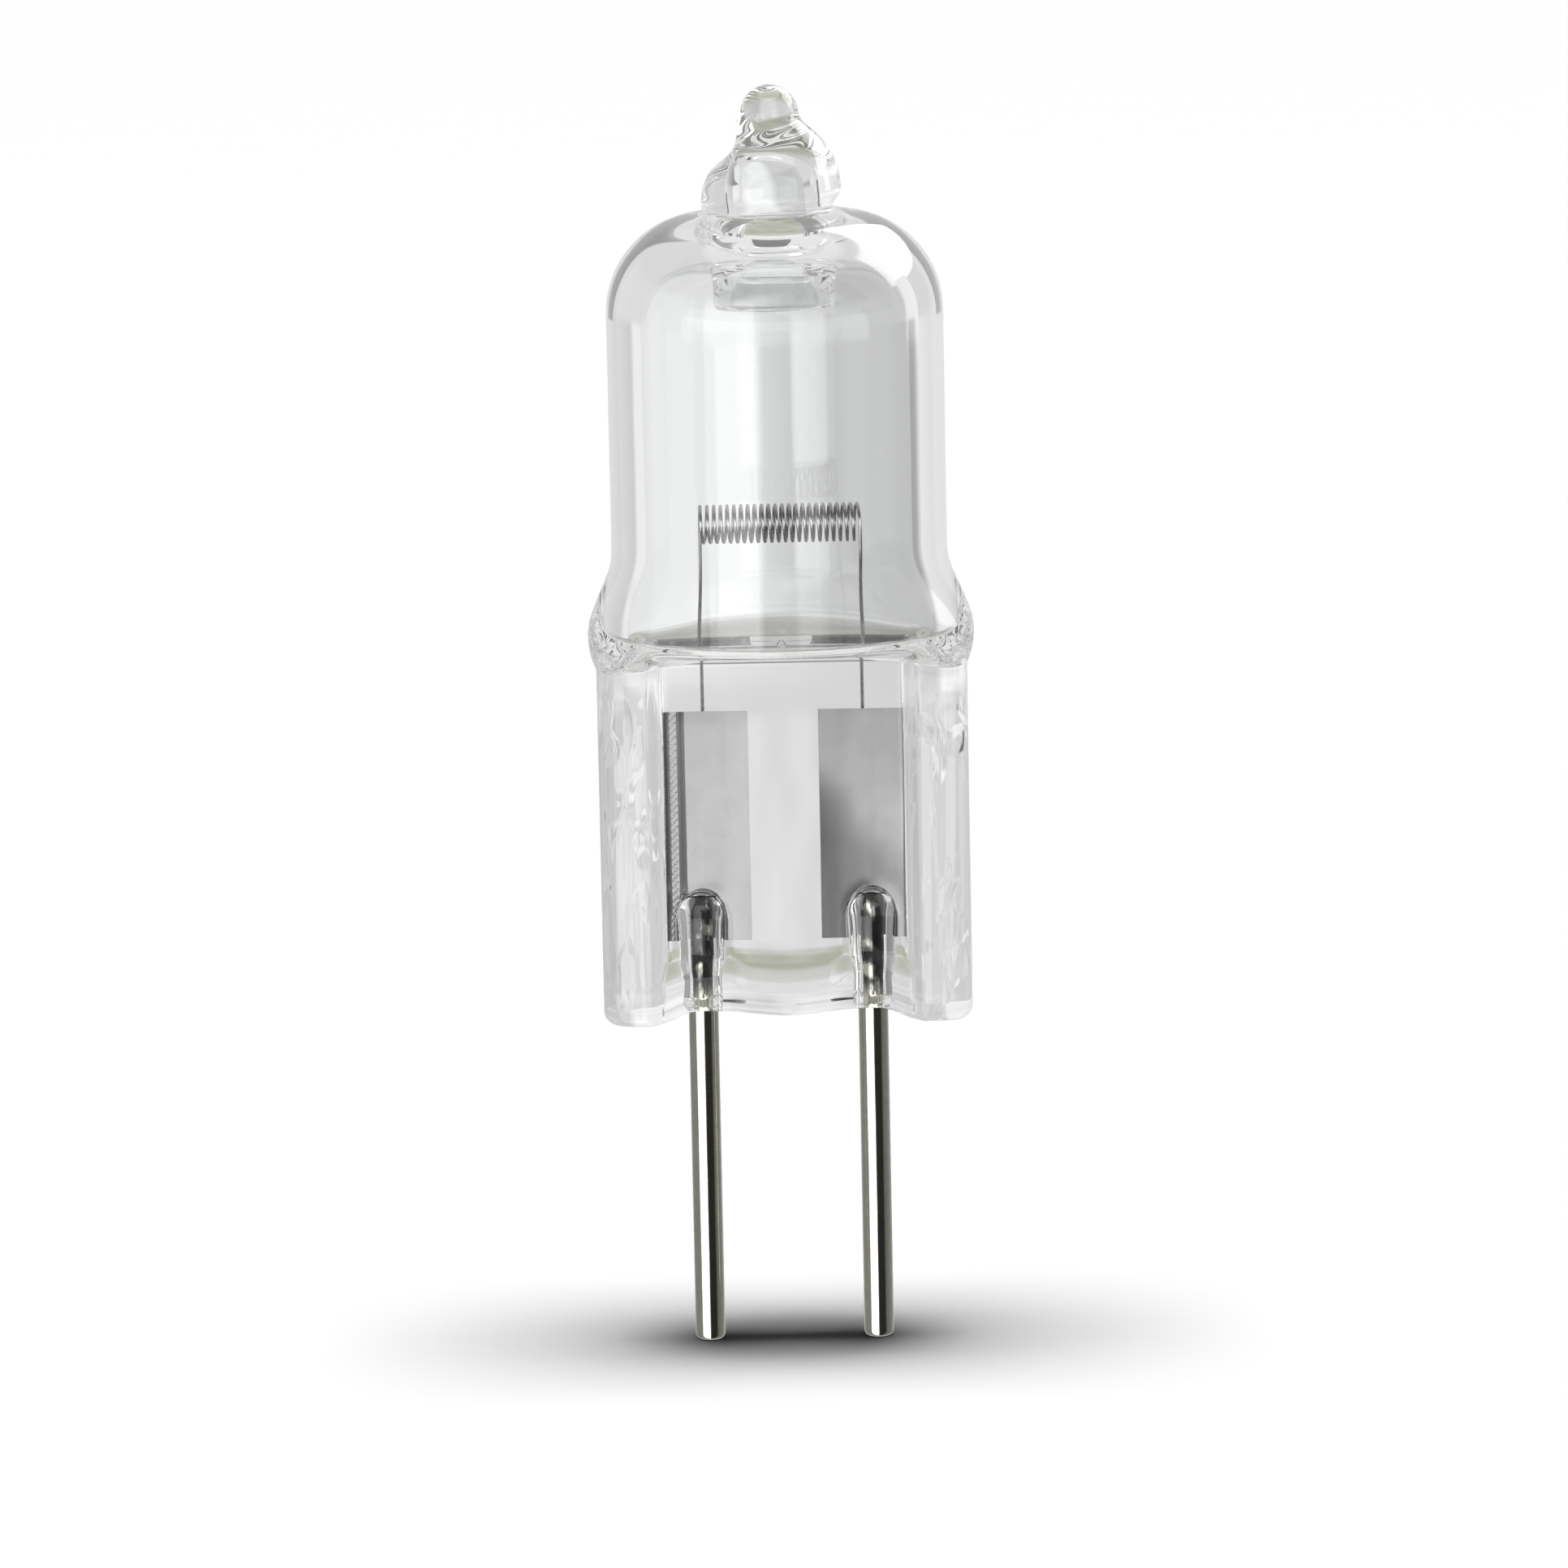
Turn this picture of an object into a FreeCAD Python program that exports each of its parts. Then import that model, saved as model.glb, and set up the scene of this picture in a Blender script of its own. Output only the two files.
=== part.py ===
"""Halogen capsule bulb on two pins: a quartz capsule pinched flat round its foils, pins and filament legs.

Lengths are millimetres. +Z is up, X runs across the flat pinch and the front of the pinch faces -Y.
The origin lies midway between the pins, where they leave the glass.
"""

import FreeCAD, Part
import math
import os
from types import SimpleNamespace

import Sketcher

Vector = FreeCAD.Vector

# Driving dimensions, by piece
DIMENSIONS = {
    # Pins
    "pin_spacing": 4.0,
    "pin_diameter": 0.7,
    "pin_length": 7.8,
    "pin_seal_depth": 2.9,
    "pin_point_width": 0.4,
    "pin_point_length": 0.25,
    "pin_weld_flat": 0.05,
    # Foils
    "foil_spacing": 3.75,
    "foil_width": 2.1,
    "foil_length": 5.5,
    "foil_thickness": 0.03,
    "foil_lap_on_pin": 1.3,
    # Filament
    "wire_diameter": 0.1,
    "coil_diameter": 0.95,
    "coil_turns": 23,
    "coil_height_over_floor": 2.95,
    "leg_lap_on_foil": 0.9,
    "leg_weld_flat": 0.005,
    "leg_straight": 0.5,
    # Pinch
    "pinch_width": 8.66,
    "pinch_height": 8.2,
    "rim_width": 1.45,
    "rim_thickness": 2.6,
    "rim_corner_radius": 0.7,
    "rim_drop": 0.3,
    "rim_end_radius": 0.25,
    "web_thickness": 1.8,
    "ridge_width": 1.16,
    "ridge_height": 2.95,
    "ridge_rise": 0.35,
    "rail_height": 0.6,
    "rail_thickness": 2.3,
    "rail_edge_radius": 0.25,
    "lobe_drop": 0.13,
    "notch_width": 1.2,
    # Capsule
    "tube_diameter": 7.84,
    "wall_thickness": 0.8,
    "tube_height": 7.85,
    "dome_corner_radius": 2.3,
    "shoulder_height": 2.9,
    "shoulder_width": 9.04,
    "shoulder_depth": 7.84,
    "chin_height": 0.65,
    "chin_width": 8.8,
    "chin_depth": 3.2,
    # Cavity
    "floor_thickness": 0.55,
    "floor_width": 5.4,
    "floor_depth": 3.0,
    "floor_rise": 0.15,
    "ceiling_thickness": 0.9,
    # Exhaust tip, and the stub of the exhaust tube inside the dome
    "tip_height": 2.97,
    "tip_foot_width": 2.5,
    "bead_width": 3.2,
    "bead_level": 0.5,
    "bead_height": 2.3,
    "neck_width": 2.06,
    "neck_level": 1.65,
    "neck_offset": 0.17,
    "nipple_width": 1.46,
    "nipple_level": 2.12,
    "nipple_offset": -0.15,
    "stub_width": 2.8,
    "stub_drop": 1.2,
    "stub_bevel": 0.2,
    "exhaust_bore": 1.5,
    "exhaust_height": 1.2,
}

# Sides of the coil's wire, and of half a turn of the coil
WIRE_SIDES = 6
HALF_TURN_SIDES = 4

# Flats across the rounded edge of the dome, outside and inside
DOME_SIDES = 8
CEILING_SIDES = 5

# Levels of the cross-sections of the shoulders, as shares of the way down
SHOULDER_STEPS = (0.18, 0.36, 0.54, 0.72, 0.88, 1.0)

# Places of the cross-sections of the tip's bead, as degrees up its round side
BEAD_ANGLES = (-20, 0, 25, 45)


class Size:
    """A length worked out from the sheet: its expression, and the number that the expression gives."""

    def __init__(self, text, value):
        self.text = text
        self.value = value

    def __add__(self, other):
        return combine(self, "+", other, self.value + number_of(other))

    def __sub__(self, other):
        return combine(self, "-", other, self.value - number_of(other))

    def __mul__(self, other):
        return combine(self, "*", other, self.value * number_of(other))

    def __truediv__(self, other):
        return combine(self, "/", other, self.value / number_of(other))

    def __neg__(self):
        return self * -1


def number_of(size):
    """The number that a size, or a plain number, stands for."""
    return size.value if isinstance(size, Size) else size


def combine(left, sign, right, value):
    """Write two sizes, or a size and a plain number, as one size."""
    right_text = right.text if isinstance(right, Size) else f"({right!r})"
    return Size(f"({left.text} {sign} {right_text})", value)


def make_sheet(doc):
    """Write the driving dimensions to a sheet, and return each one as a size under its own name."""
    sheet = doc.addObject("Spreadsheet::Sheet", "Dimensions")
    for row, (alias, number) in enumerate(DIMENSIONS.items(), start=1):
        sheet.set(f"A{row}", alias)
        sheet.set(f"B{row}", repr(number))
        sheet.setAlias(f"B{row}", alias)
    doc.recompute()
    sizes = {alias: Size(f"Dimensions.{alias}", float(sheet.get(alias))) for alias in DIMENSIONS}
    return SimpleNamespace(**sizes)


def shared_levels(dims):
    """Work out the radii, levels and planes that several pieces share."""
    tube_radius = dims.tube_diameter / 2
    shoulder_top = dims.pinch_height + dims.shoulder_height
    dome_top = shoulder_top + dims.tube_height
    floor = dims.pinch_height + dims.floor_thickness
    foil_bottom = dims.pin_seal_depth - dims.foil_lap_on_pin
    foil_front = dims.pin_diameter / 2 - dims.pin_weld_flat
    wire_flat = dims.wire_diameter * (math.cos(math.pi / WIRE_SIDES) / 2)
    return SimpleNamespace(
        tube_radius=tube_radius,
        bore_radius=tube_radius - dims.wall_thickness,
        shoulder_top=shoulder_top,
        dome_top=dome_top,
        ceiling=dome_top - dims.ceiling_thickness,
        floor=floor,
        foil_bottom=foil_bottom,
        foil_front=foil_front,
        leg_plane=foil_front + dims.foil_thickness + wire_flat - dims.leg_weld_flat,
        leg_bottom=foil_bottom + dims.foil_length - dims.leg_lap_on_foil,
        coil_height=floor + dims.coil_height_over_floor,
    )


def new_body(doc, name):
    """Add an empty body."""
    body = doc.addObject("PartDesign::Body", name)
    body.Label = name
    return body


def origin_plane(body, role):
    """Find one of the three origin planes of a body."""
    return [feature for feature in body.Origin.OriginFeatures if feature.Role == role][0]


def new_sketch(body, name, role, offset=None, shift=None):
    """Add a sketch on an origin plane of its body, moved along the plane's normal and along its own X."""
    sketch = body.newObject("Sketcher::SketchObject", name)
    sketch.AttachmentSupport = [(origin_plane(body, role), "")]
    sketch.MapMode = "FlatFace"
    if offset is not None:
        sketch.setExpression("AttachmentOffset.Base.z", offset.text)
    if shift is not None:
        sketch.setExpression("AttachmentOffset.Base.x", shift.text)
    return sketch


def bind(sketch, size, kind, *references):
    """Add a constraint whose value is a size."""
    index = sketch.addConstraint(Sketcher.Constraint(kind, *references, size.value))
    sketch.setExpression(f"Constraints[{index}]", size.text)


def hold(sketch, geometry, point, kind, size):
    """Hold one coordinate of a point of the sketch at a size, or on the axis where it is zero."""
    axis = {"DistanceX": -2, "DistanceY": -1}[kind]
    if not isinstance(size, Size):
        sketch.addConstraint(Sketcher.Constraint("PointOnObject", geometry, point, axis))
    elif size.value < 0:
        bind(sketch, -size, kind, geometry, point, -1, 1)
    else:
        bind(sketch, size, kind, -1, 1, geometry, point)


def add_arc(sketch, start, end, centre):
    """Add the shorter arc from start to end; return its number and which of its ends come first and last."""
    angles = [math.atan2(point.y - centre.y, point.x - centre.x) for point in (start, end)]
    turn = (angles[1] - angles[0]) % (2 * math.pi)
    circle = Part.Circle(centre, Vector(0, 0, 1), (start - centre).Length)
    if turn < math.pi:
        return sketch.addGeometry(Part.ArcOfCircle(circle, angles[0], angles[0] + turn), False), 1, 2
    back = 2 * math.pi - turn
    return sketch.addGeometry(Part.ArcOfCircle(circle, angles[1], angles[1] + back), False), 2, 1


def draw_outline(sketch, corners):
    """Draw a closed outline through its corners: (x, y), or (x, y, centre x, centre y) after an arc."""
    points = [Vector(number_of(corner[0]), number_of(corner[1]), 0) for corner in corners]
    edges = []
    for number, corner in enumerate(corners):
        start, end = points[number - 1], points[number]
        if len(corner) == 2:
            edges.append((sketch.addGeometry(Part.LineSegment(start, end), False), 1, 2))
        else:
            centre = Vector(number_of(corner[2]), number_of(corner[3]), 0)
            edges.append(add_arc(sketch, start, end, centre))
    for number, (edge, first, _) in enumerate(edges):
        before, _, before_last = edges[number - 1]
        sketch.addConstraint(Sketcher.Constraint("Coincident", before, before_last, edge, first))
    for number, (edge, _, last) in enumerate(edges):
        corner = corners[number]
        hold(sketch, edge, last, "DistanceX", corner[0])
        hold(sketch, edge, last, "DistanceY", corner[1])
        if len(corner) == 4:
            chord = points[number] - points[number - 1]
            if abs(chord.x) < abs(chord.y):
                hold(sketch, edge, 3, "DistanceX", corner[2])
            else:
                hold(sketch, edge, 3, "DistanceY", corner[3])


def draw_circle(sketch, radius, centre_x=0):
    """Draw a circle on the sketch's X axis."""
    centre = Vector(number_of(centre_x), 0, 0)
    circle = sketch.addGeometry(Part.Circle(centre, Vector(0, 0, 1), radius.value), False)
    hold(sketch, circle, 3, "DistanceX", centre_x)
    hold(sketch, circle, 3, "DistanceY", 0)
    bind(sketch, radius, "Radius", circle)


def draw_ellipse(sketch, half_width, half_depth):
    """Draw an ellipse round the sketch's origin, with its long axis along X."""
    shape = Part.Ellipse(Vector(), half_width.value, half_depth.value)
    ellipse = sketch.addGeometry(shape, False)
    sketch.exposeInternalGeometry(ellipse)
    long_axis, short_axis = ellipse + 1, ellipse + 2
    sketch.addConstraint(Sketcher.Constraint("Coincident", ellipse, 3, -1, 1))
    sketch.addConstraint(Sketcher.Constraint("Horizontal", long_axis))
    bind(sketch, half_width * 2, "Distance", long_axis)
    bind(sketch, half_depth * 2, "Distance", short_axis)


def add_feature(body, kind, name, sketch, **sizes):
    """Add a feature made from a sketch, with its sizes bound to the sheet."""
    feature = body.newObject(f"PartDesign::{kind}", name)
    feature.Profile = sketch
    for prop, size in sizes.items():
        feature.setExpression(prop, size.text)
    sketch.Visibility = False
    return feature


def revolve(body, kind, name, sketch):
    """Turn a sketch a full turn about its own Y axis, to add or to cut."""
    feature = add_feature(body, kind, name, sketch)
    feature.ReferenceAxis = (sketch, ["V_Axis"])
    feature.Angle = 360
    return feature


def loft(body, kind, name, sketches):
    """Join cross-sections by straight lines from each to the next, to add or to cut."""
    feature = add_feature(body, kind, name, sketches[0])
    feature.Sections = sketches[1:]
    feature.Ruled = True
    return feature


def pinch_outline(dims):
    """The cross-section of the pinch: two thick rounded rims joined by a thin web."""
    half_width = dims.pinch_width / 2
    half_rim = dims.rim_thickness / 2
    half_web = dims.web_thickness / 2
    inner = half_width - dims.rim_width
    step = (half_rim - half_web) / 2
    corner = dims.rim_corner_radius
    middle = half_web + step
    points = [
        (half_width, half_rim - corner),
        (half_width - corner, half_rim),
        (inner + step, half_rim),
        (inner, middle),
        (inner - step, half_web),
    ]
    centres = [
        (half_width - corner, half_rim - corner),
        None,
        (inner + step, middle),
        (inner - step, middle),
    ]
    corners = []
    for side_x, side_y in ((1, 1), (-1, 1), (-1, -1), (1, -1)):
        turn = side_x * side_y
        ordered = [None] + centres[::turn]
        for (x, y), centre in zip(points[::turn], ordered):
            place = (x * side_x, y * side_y)
            if centre is not None:
                place += (centre[0] * side_x, centre[1] * side_y)
            corners.append(place)
    return corners


def front_cut_outline(dims):
    """The front view of what is cut from below: round rim ends, a notch at each pin, a lobe between them."""
    side = dims.pinch_width / 2
    outer = (dims.pin_spacing + dims.notch_width) / 2
    inner = (dims.pin_spacing - dims.notch_width) / 2
    lobe = dims.lobe_drop
    low = -dims.rim_drop
    end = dims.rim_end_radius
    edge = (dims.rim_drop - lobe) / 2
    right_half = [
        (side + end, low + end),
        (side, low + end),
        (side - end, low, side - end, low + end),
        (outer + edge, low),
        (outer, low + edge, outer + edge, low + edge),
        (outer, -lobe),
        (outer - lobe, 0, outer - lobe, -lobe),
        (inner + lobe, 0),
        (inner, -lobe, inner + lobe, -lobe),
    ]
    left_half = [
        (-inner, -lobe),
        (-inner - lobe, 0, -inner - lobe, -lobe),
        (-outer + lobe, 0),
        (-outer, -lobe, -outer + lobe, -lobe),
        (-outer, low + edge),
        (-outer - edge, low, -outer - edge, low + edge),
        (-side + end, low),
        (-side, low + end, -side + end, low + end),
        (-side - end, low + end),
    ]
    below = low - dims.rim_drop * 2
    return [(-side - end, below), (side + end, below)] + right_half + left_half


def side_cut_outline(dims, side):
    """The side view of what is cut from a rim's lower edge, to round it on the front or the back."""
    face = dims.rim_thickness / 2
    low = -dims.rim_drop
    end = dims.rim_end_radius
    below = low - dims.rim_drop * 2
    return [
        ((face - end) * side, below),
        ((face + end) * side, below),
        ((face + end) * side, low + end),
        (face * side, low + end),
        ((face - end) * side, low, (face - end) * side, low + end),
    ]


def add_pinch(doc, body, dims):
    """Build the flat pinch: rims and web, bottom rail, ridges over the pins, and the lobed lower edge."""
    bottom = -dims.rim_drop * 2
    section = new_sketch(body, "pinch_section", "XY_Plane", bottom)
    draw_outline(section, pinch_outline(dims))
    height = dims.pinch_height + dims.chin_height - bottom
    add_feature(body, "Pad", "pinch_block", section, Length=height)

    rail_section = new_sketch(body, "rail_section", "YZ_Plane")
    half_rail = dims.rail_thickness / 2
    edge = dims.rail_edge_radius
    shoulder = dims.rail_height - edge
    draw_outline(
        rail_section,
        [
            (half_rail, bottom),
            (half_rail, shoulder),
            (half_rail - edge, dims.rail_height, half_rail - edge, shoulder),
            (-half_rail + edge, dims.rail_height),
            (-half_rail, shoulder, -half_rail + edge, shoulder),
            (-half_rail, bottom),
        ],
    )
    between_rims = dims.pinch_width - dims.rim_width * 2
    rail = add_feature(body, "Pad", "rail", rail_section, Length=between_rims)
    rail.Midplane = True

    radius = dims.ridge_width / 2
    ridge_plane = dims.web_thickness / 2 + dims.ridge_rise - radius
    ridge_section = new_sketch(body, "ridge_section", "XZ_Plane", ridge_plane, -dims.pin_spacing / 2)
    draw_outline(
        ridge_section,
        [
            (0, bottom),
            (radius, bottom),
            (radius, dims.ridge_height - radius),
            (0, dims.ridge_height, 0, dims.ridge_height - radius),
        ],
    )
    ridge = revolve(body, "Revolution", "ridge", ridge_section)
    mirror_all_ways(doc, body, "ridges", ridge)

    cut_through(body, "lower_edge", "XZ_Plane", front_cut_outline(dims))
    for word, side in (("front", -1), ("back", 1)):
        cut_through(body, f"lower_edge_{word}", "YZ_Plane", side_cut_outline(dims, side))


def cut_through(body, name, role, corners):
    """Cut an outline right through the body, both ways from an origin plane."""
    sketch = new_sketch(body, f"{name}_outline", role)
    draw_outline(sketch, corners)
    cut = add_feature(body, "Pocket", name, sketch)
    cut.Type = "ThroughAll"
    cut.Midplane = True
    return cut


def mirror_all_ways(doc, body, name, feature):
    """Repeat a feature across the body's middle planes, left to right and front to back."""
    doc.recompute()
    mirrors = []
    for role in ("YZ_Plane", "XZ_Plane"):
        mirror = body.newObject("PartDesign::Mirrored", f"{name}_across_{role}")
        mirror.MirrorPlane = (origin_plane(body, role), [""])
        mirrors.append(mirror)
    pattern = body.newObject("PartDesign::MultiTransform", name)
    pattern.Originals = [feature]
    pattern.Transformations = mirrors
    body.Tip = pattern
    doc.recompute()


def rounded_edge(side, top, radius, flats):
    """Points from a wall at side up and over to a flat top, along a quarter circle."""
    points = []
    for number in range(flats + 1):
        angle = math.pi / 2 * number / flats
        across = side - radius + radius * math.cos(angle)
        up = top - radius + radius * math.sin(angle)
        points.append((across, up))
    return points


def add_capsule(body, dims, levels):
    """Build the round capsule with its domed top."""
    radius = levels.tube_radius
    edge = rounded_edge(radius, levels.dome_top, dims.dome_corner_radius, DOME_SIDES)
    section = new_sketch(body, "capsule_section", "XZ_Plane")
    start = [(0, levels.shoulder_top), (radius, levels.shoulder_top)]
    draw_outline(section, start + edge + [(0, levels.dome_top)])
    revolve(body, "Revolution", "capsule", section)


def eased(share):
    """A share of the way that starts and ends gently."""
    return share * share * (3 - 2 * share)


def add_shoulder(body, dims, levels):
    """Build the flared shoulder, which turns under at the chin and meets the pinch."""
    top = levels.shoulder_top
    radius = levels.tube_radius
    widest = dims.pinch_height + dims.chin_height
    sketches = [new_sketch(body, "shoulder_round", "XY_Plane", top)]
    draw_circle(sketches[0], radius)
    for number, share in enumerate(SHOULDER_STEPS, start=1):
        sketch = new_sketch(body, f"shoulder_section_{number}", "XY_Plane", top + (widest - top) * share)
        width = radius + (dims.shoulder_width / 2 - radius) * eased(share)
        depth = radius + (dims.shoulder_depth / 2 - radius) * eased(share)
        draw_ellipse(sketch, width, depth)
        sketches.append(sketch)
    chin = new_sketch(body, "chin", "XY_Plane", dims.pinch_height)
    draw_ellipse(chin, dims.chin_width / 2, dims.chin_depth / 2)
    loft(body, "AdditiveLoft", "shoulder", sketches + [chin])


def add_tip(body, dims, levels):
    """Build the exhaust tip: a lopsided bead of melted glass drawn up into a nipple."""
    nipple_radius = dims.nipple_width / 2
    nipple_top = levels.dome_top + dims.tip_height - nipple_radius
    rings = [("tip_foot", -dims.ceiling_thickness / 2, dims.tip_foot_width / 2, 0)]
    for number, degrees in enumerate(BEAD_ANGLES, start=1):
        angle = math.radians(degrees)
        rise = dims.bead_level + dims.bead_height / 2 * math.sin(angle)
        lean = dims.neck_offset * eased(max(math.sin(angle), 0))
        rings.append((f"bead_{number}", rise, dims.bead_width / 2 * math.cos(angle), lean))
    rings.append(("neck", dims.neck_level, dims.neck_width / 2, dims.neck_offset))
    rings.append(("nipple_foot", dims.nipple_level, nipple_radius, dims.nipple_offset))
    rings.append(("nipple_neck", dims.tip_height - nipple_radius, nipple_radius, dims.nipple_offset))
    sketches = []
    for name, rise, radius, offset in rings:
        sketch = new_sketch(body, name, "XY_Plane", levels.dome_top + rise)
        draw_circle(sketch, radius, offset)
        sketches.append(sketch)
    loft(body, "AdditiveLoft", "tip", sketches)
    section = new_sketch(body, "nipple_section", "XZ_Plane", shift=dims.nipple_offset)
    draw_outline(
        section,
        [
            (0, nipple_top),
            (nipple_radius, nipple_top),
            (0, nipple_top + nipple_radius, 0, nipple_top),
        ],
    )
    revolve(body, "Revolution", "nipple", section)


def cut_cavity(body, dims, levels):
    """Hollow the capsule, leaving the stub of the exhaust tube hanging from the dome."""
    radius = levels.bore_radius
    corner = dims.dome_corner_radius - dims.wall_thickness
    stub_radius = dims.stub_width / 2
    hole_radius = dims.exhaust_bore / 2
    bevel = dims.stub_bevel
    stub_end = levels.ceiling - dims.stub_drop
    hole_top = levels.dome_top + dims.exhaust_height
    stub = [
        (stub_radius, levels.ceiling),
        (stub_radius, stub_end + bevel),
        (stub_radius - bevel, stub_end),
        (hole_radius + bevel, stub_end),
        (hole_radius, stub_end + bevel),
        (hole_radius, hole_top - hole_radius),
        (0, hole_top),
    ]
    section = new_sketch(body, "cavity_section", "XZ_Plane")
    rim = levels.floor + dims.floor_rise
    start = [(0, rim), (radius, rim)]
    draw_outline(section, start + rounded_edge(radius, levels.ceiling, corner, CEILING_SIDES) + stub)
    revolve(body, "Groove", "cavity", section)
    floor_rim = new_sketch(body, "cavity_floor_rim", "XY_Plane", rim)
    draw_circle(floor_rim, radius)
    floor = new_sketch(body, "cavity_floor", "XY_Plane", levels.floor)
    draw_ellipse(floor, dims.floor_width / 2, dims.floor_depth / 2)
    loft(body, "SubtractiveLoft", "cavity_bottom", [floor_rim, floor])


def build_envelope_blank(doc, dims, levels):
    """Build the glass with its cavity, as it is before the metal is sealed into it."""
    body = new_body(doc, "envelope_blank")
    add_pinch(doc, body, dims)
    add_capsule(body, dims, levels)
    add_shoulder(body, dims, levels)
    add_tip(body, dims, levels)
    cut_cavity(body, dims, levels)
    doc.recompute()
    return body


def build_pin(doc, name, side, dims, levels):
    """Build a contact pin: round wire with a blunt point below, and a flat behind for its foil.

    The wall of its free end, which a lamp holder grips, is a face of its own that starts at the feet of the rims.
    """
    body = new_body(doc, name)
    radius = dims.pin_diameter / 2
    point = dims.pin_point_width / 2
    section = new_sketch(body, f"{name}_section", "XZ_Plane")
    draw_outline(
        section,
        [
            (0, -dims.pin_length),
            (point, -dims.pin_length),
            (radius, dims.pin_point_length - dims.pin_length),
            (radius, -dims.rim_drop),
            (radius, dims.pin_seal_depth),
            (0, dims.pin_seal_depth),
        ],
    )
    wire = revolve(body, "Revolution", f"{name}_wire", section)
    over = dims.pin_seal_depth + dims.pin_weld_flat
    behind = radius + dims.pin_weld_flat
    flat = [
        (levels.foil_front, levels.foil_bottom),
        (behind, levels.foil_bottom),
        (behind, over),
        (levels.foil_front, over),
    ]
    weld_flat = cut_through(body, f"{name}_weld_flat", "YZ_Plane", flat)
    for feature in (wire, weld_flat):
        feature.Refine = False
    body.setExpression("Placement.Base.x", (dims.pin_spacing / 2 * side).text)
    return body


def build_foil(doc, name, side, dims, levels):
    """Build a foil: a thin strip standing behind its pin."""
    body = new_body(doc, name)
    half_width = dims.foil_width / 2
    section = new_sketch(body, f"{name}_outline", "XZ_Plane", -levels.foil_front)
    top = levels.foil_bottom + dims.foil_length
    draw_outline(
        section,
        [
            (-half_width, levels.foil_bottom),
            (half_width, levels.foil_bottom),
            (half_width, top),
            (-half_width, top),
        ],
    )
    strip = add_feature(body, "Pad", f"{name}_strip", section, Length=dims.foil_thickness)
    strip.Reversed = True
    body.setExpression("Placement.Base.x", (dims.foil_spacing / 2 * side).text)
    return body


def filament_points(dims, levels):
    """The middle line of the wire: up the left leg, round the coil, and down the right leg."""
    radius = ((dims.coil_diameter - dims.wire_diameter) / 2).value
    half_turns = 2 * int(dims.coil_turns.value) + 1
    reach = dims.foil_spacing.value / 2
    back = levels.leg_plane.value
    middle = back - radius
    height = levels.coil_height.value
    bottom = levels.leg_bottom.value
    straight = dims.leg_straight.value
    points = [Vector(-reach, back, bottom)]
    for number in range(half_turns * HALF_TURN_SIDES + 1):
        angle = math.pi * number / HALF_TURN_SIDES
        half_turn = min(number // HALF_TURN_SIDES, half_turns - 1)
        share = (1 - math.cos(angle - math.pi * half_turn)) / 2
        x = -reach + 2 * reach * (half_turn + share) / half_turns
        points.append(Vector(x, middle + radius * math.cos(angle), height + radius * math.sin(angle)))
    points.append(Vector(reach, middle - radius, height - straight))
    points.append(Vector(reach, back, levels.floor.value + straight))
    points.append(Vector(reach, back, bottom))
    return points


def build_filament(doc, name, foils, dims, levels):
    """Build the filament: one wire swept along its coil and legs, with a weld flat where it meets each foil."""
    points = filament_points(dims, levels)
    path = doc.addObject("Part::Feature", "filament_path")
    path.Shape = Part.makePolygon(points)
    section = doc.addObject("Part::RegularPolygon", "wire_section")
    section.Polygon = WIRE_SIDES
    section.setExpression("Circumradius", (dims.wire_diameter / 2).text)
    section.setExpression("Placement.Base.x", (-dims.foil_spacing / 2).text)
    section.setExpression("Placement.Base.y", levels.leg_plane.text)
    section.setExpression("Placement.Base.z", levels.leg_bottom.text)
    wire = doc.addObject("Part::Sweep", "filament_wire")
    wire.Sections = [section]
    wire.Spine = (path, [f"Edge{number}" for number in range(1, len(points))])
    wire.Solid = True
    wire.Transition = "Right corner"
    both = doc.addObject("Part::MultiFuse", "both_foils")
    both.Shapes = foils
    filament = doc.addObject("Part::Cut", name)
    filament.Label = name
    filament.Base = wire
    filament.Tool = both
    return filament


def seal(doc, name, blank, metal):
    """Build the envelope: the blank less the metal that is sealed into it, face to face."""
    sealed = doc.addObject("Part::MultiFuse", "sealed_metal")
    sealed.Shapes = metal
    envelope = doc.addObject("Part::Cut", name)
    envelope.Label = name
    envelope.Base = blank
    envelope.Tool = sealed
    return envelope


def finish(doc, pieces):
    """Check the whole document, then write each piece to a file named by its label."""
    for item in doc.Objects:
        if "Invalid" in item.State or "Error" in item.State:
            raise RuntimeError(f"{item.Label} did not build: {item.State}")
    for piece in pieces:
        if piece.Shape.isNull() or not piece.Shape.isValid() or len(piece.Shape.Solids) != 1:
            raise RuntimeError(f"{piece.Label} is not one valid solid")
    os.makedirs("parts", exist_ok=True)
    for piece in pieces:
        piece.Shape.exportStep(f"parts/{piece.Label}.step")
        print(f"{piece.Label}: {piece.Shape.Volume:.4f} mm3")


def main():
    """Build the document and write its pieces."""
    doc = FreeCAD.newDocument("halogen_capsule_bulb")
    dims = make_sheet(doc)
    levels = shared_levels(dims)
    sides = {"left": -1, "right": 1}
    pins = [build_pin(doc, f"{word}_pin", side, dims, levels) for word, side in sides.items()]
    foils = [build_foil(doc, f"{word}_foil", side, dims, levels) for word, side in sides.items()]
    filament = build_filament(doc, "tungsten_filament", foils, dims, levels)
    blank = build_envelope_blank(doc, dims, levels)
    envelope = seal(doc, "quartz_envelope", blank, pins + foils + [filament])
    doc.recompute()
    finish(doc, [envelope, filament] + foils + pins)


main()
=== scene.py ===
"""Looks of a halogen capsule bulb: clear quartz, a coiled filament, sealed foils and two contact pins.

Sizes are millimetres, in the part's own frame: +Z up, X across the flat pinch, its front at -Y.
Each piece is modelled in millimetres and brought to metres as its last step.
"""

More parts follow.
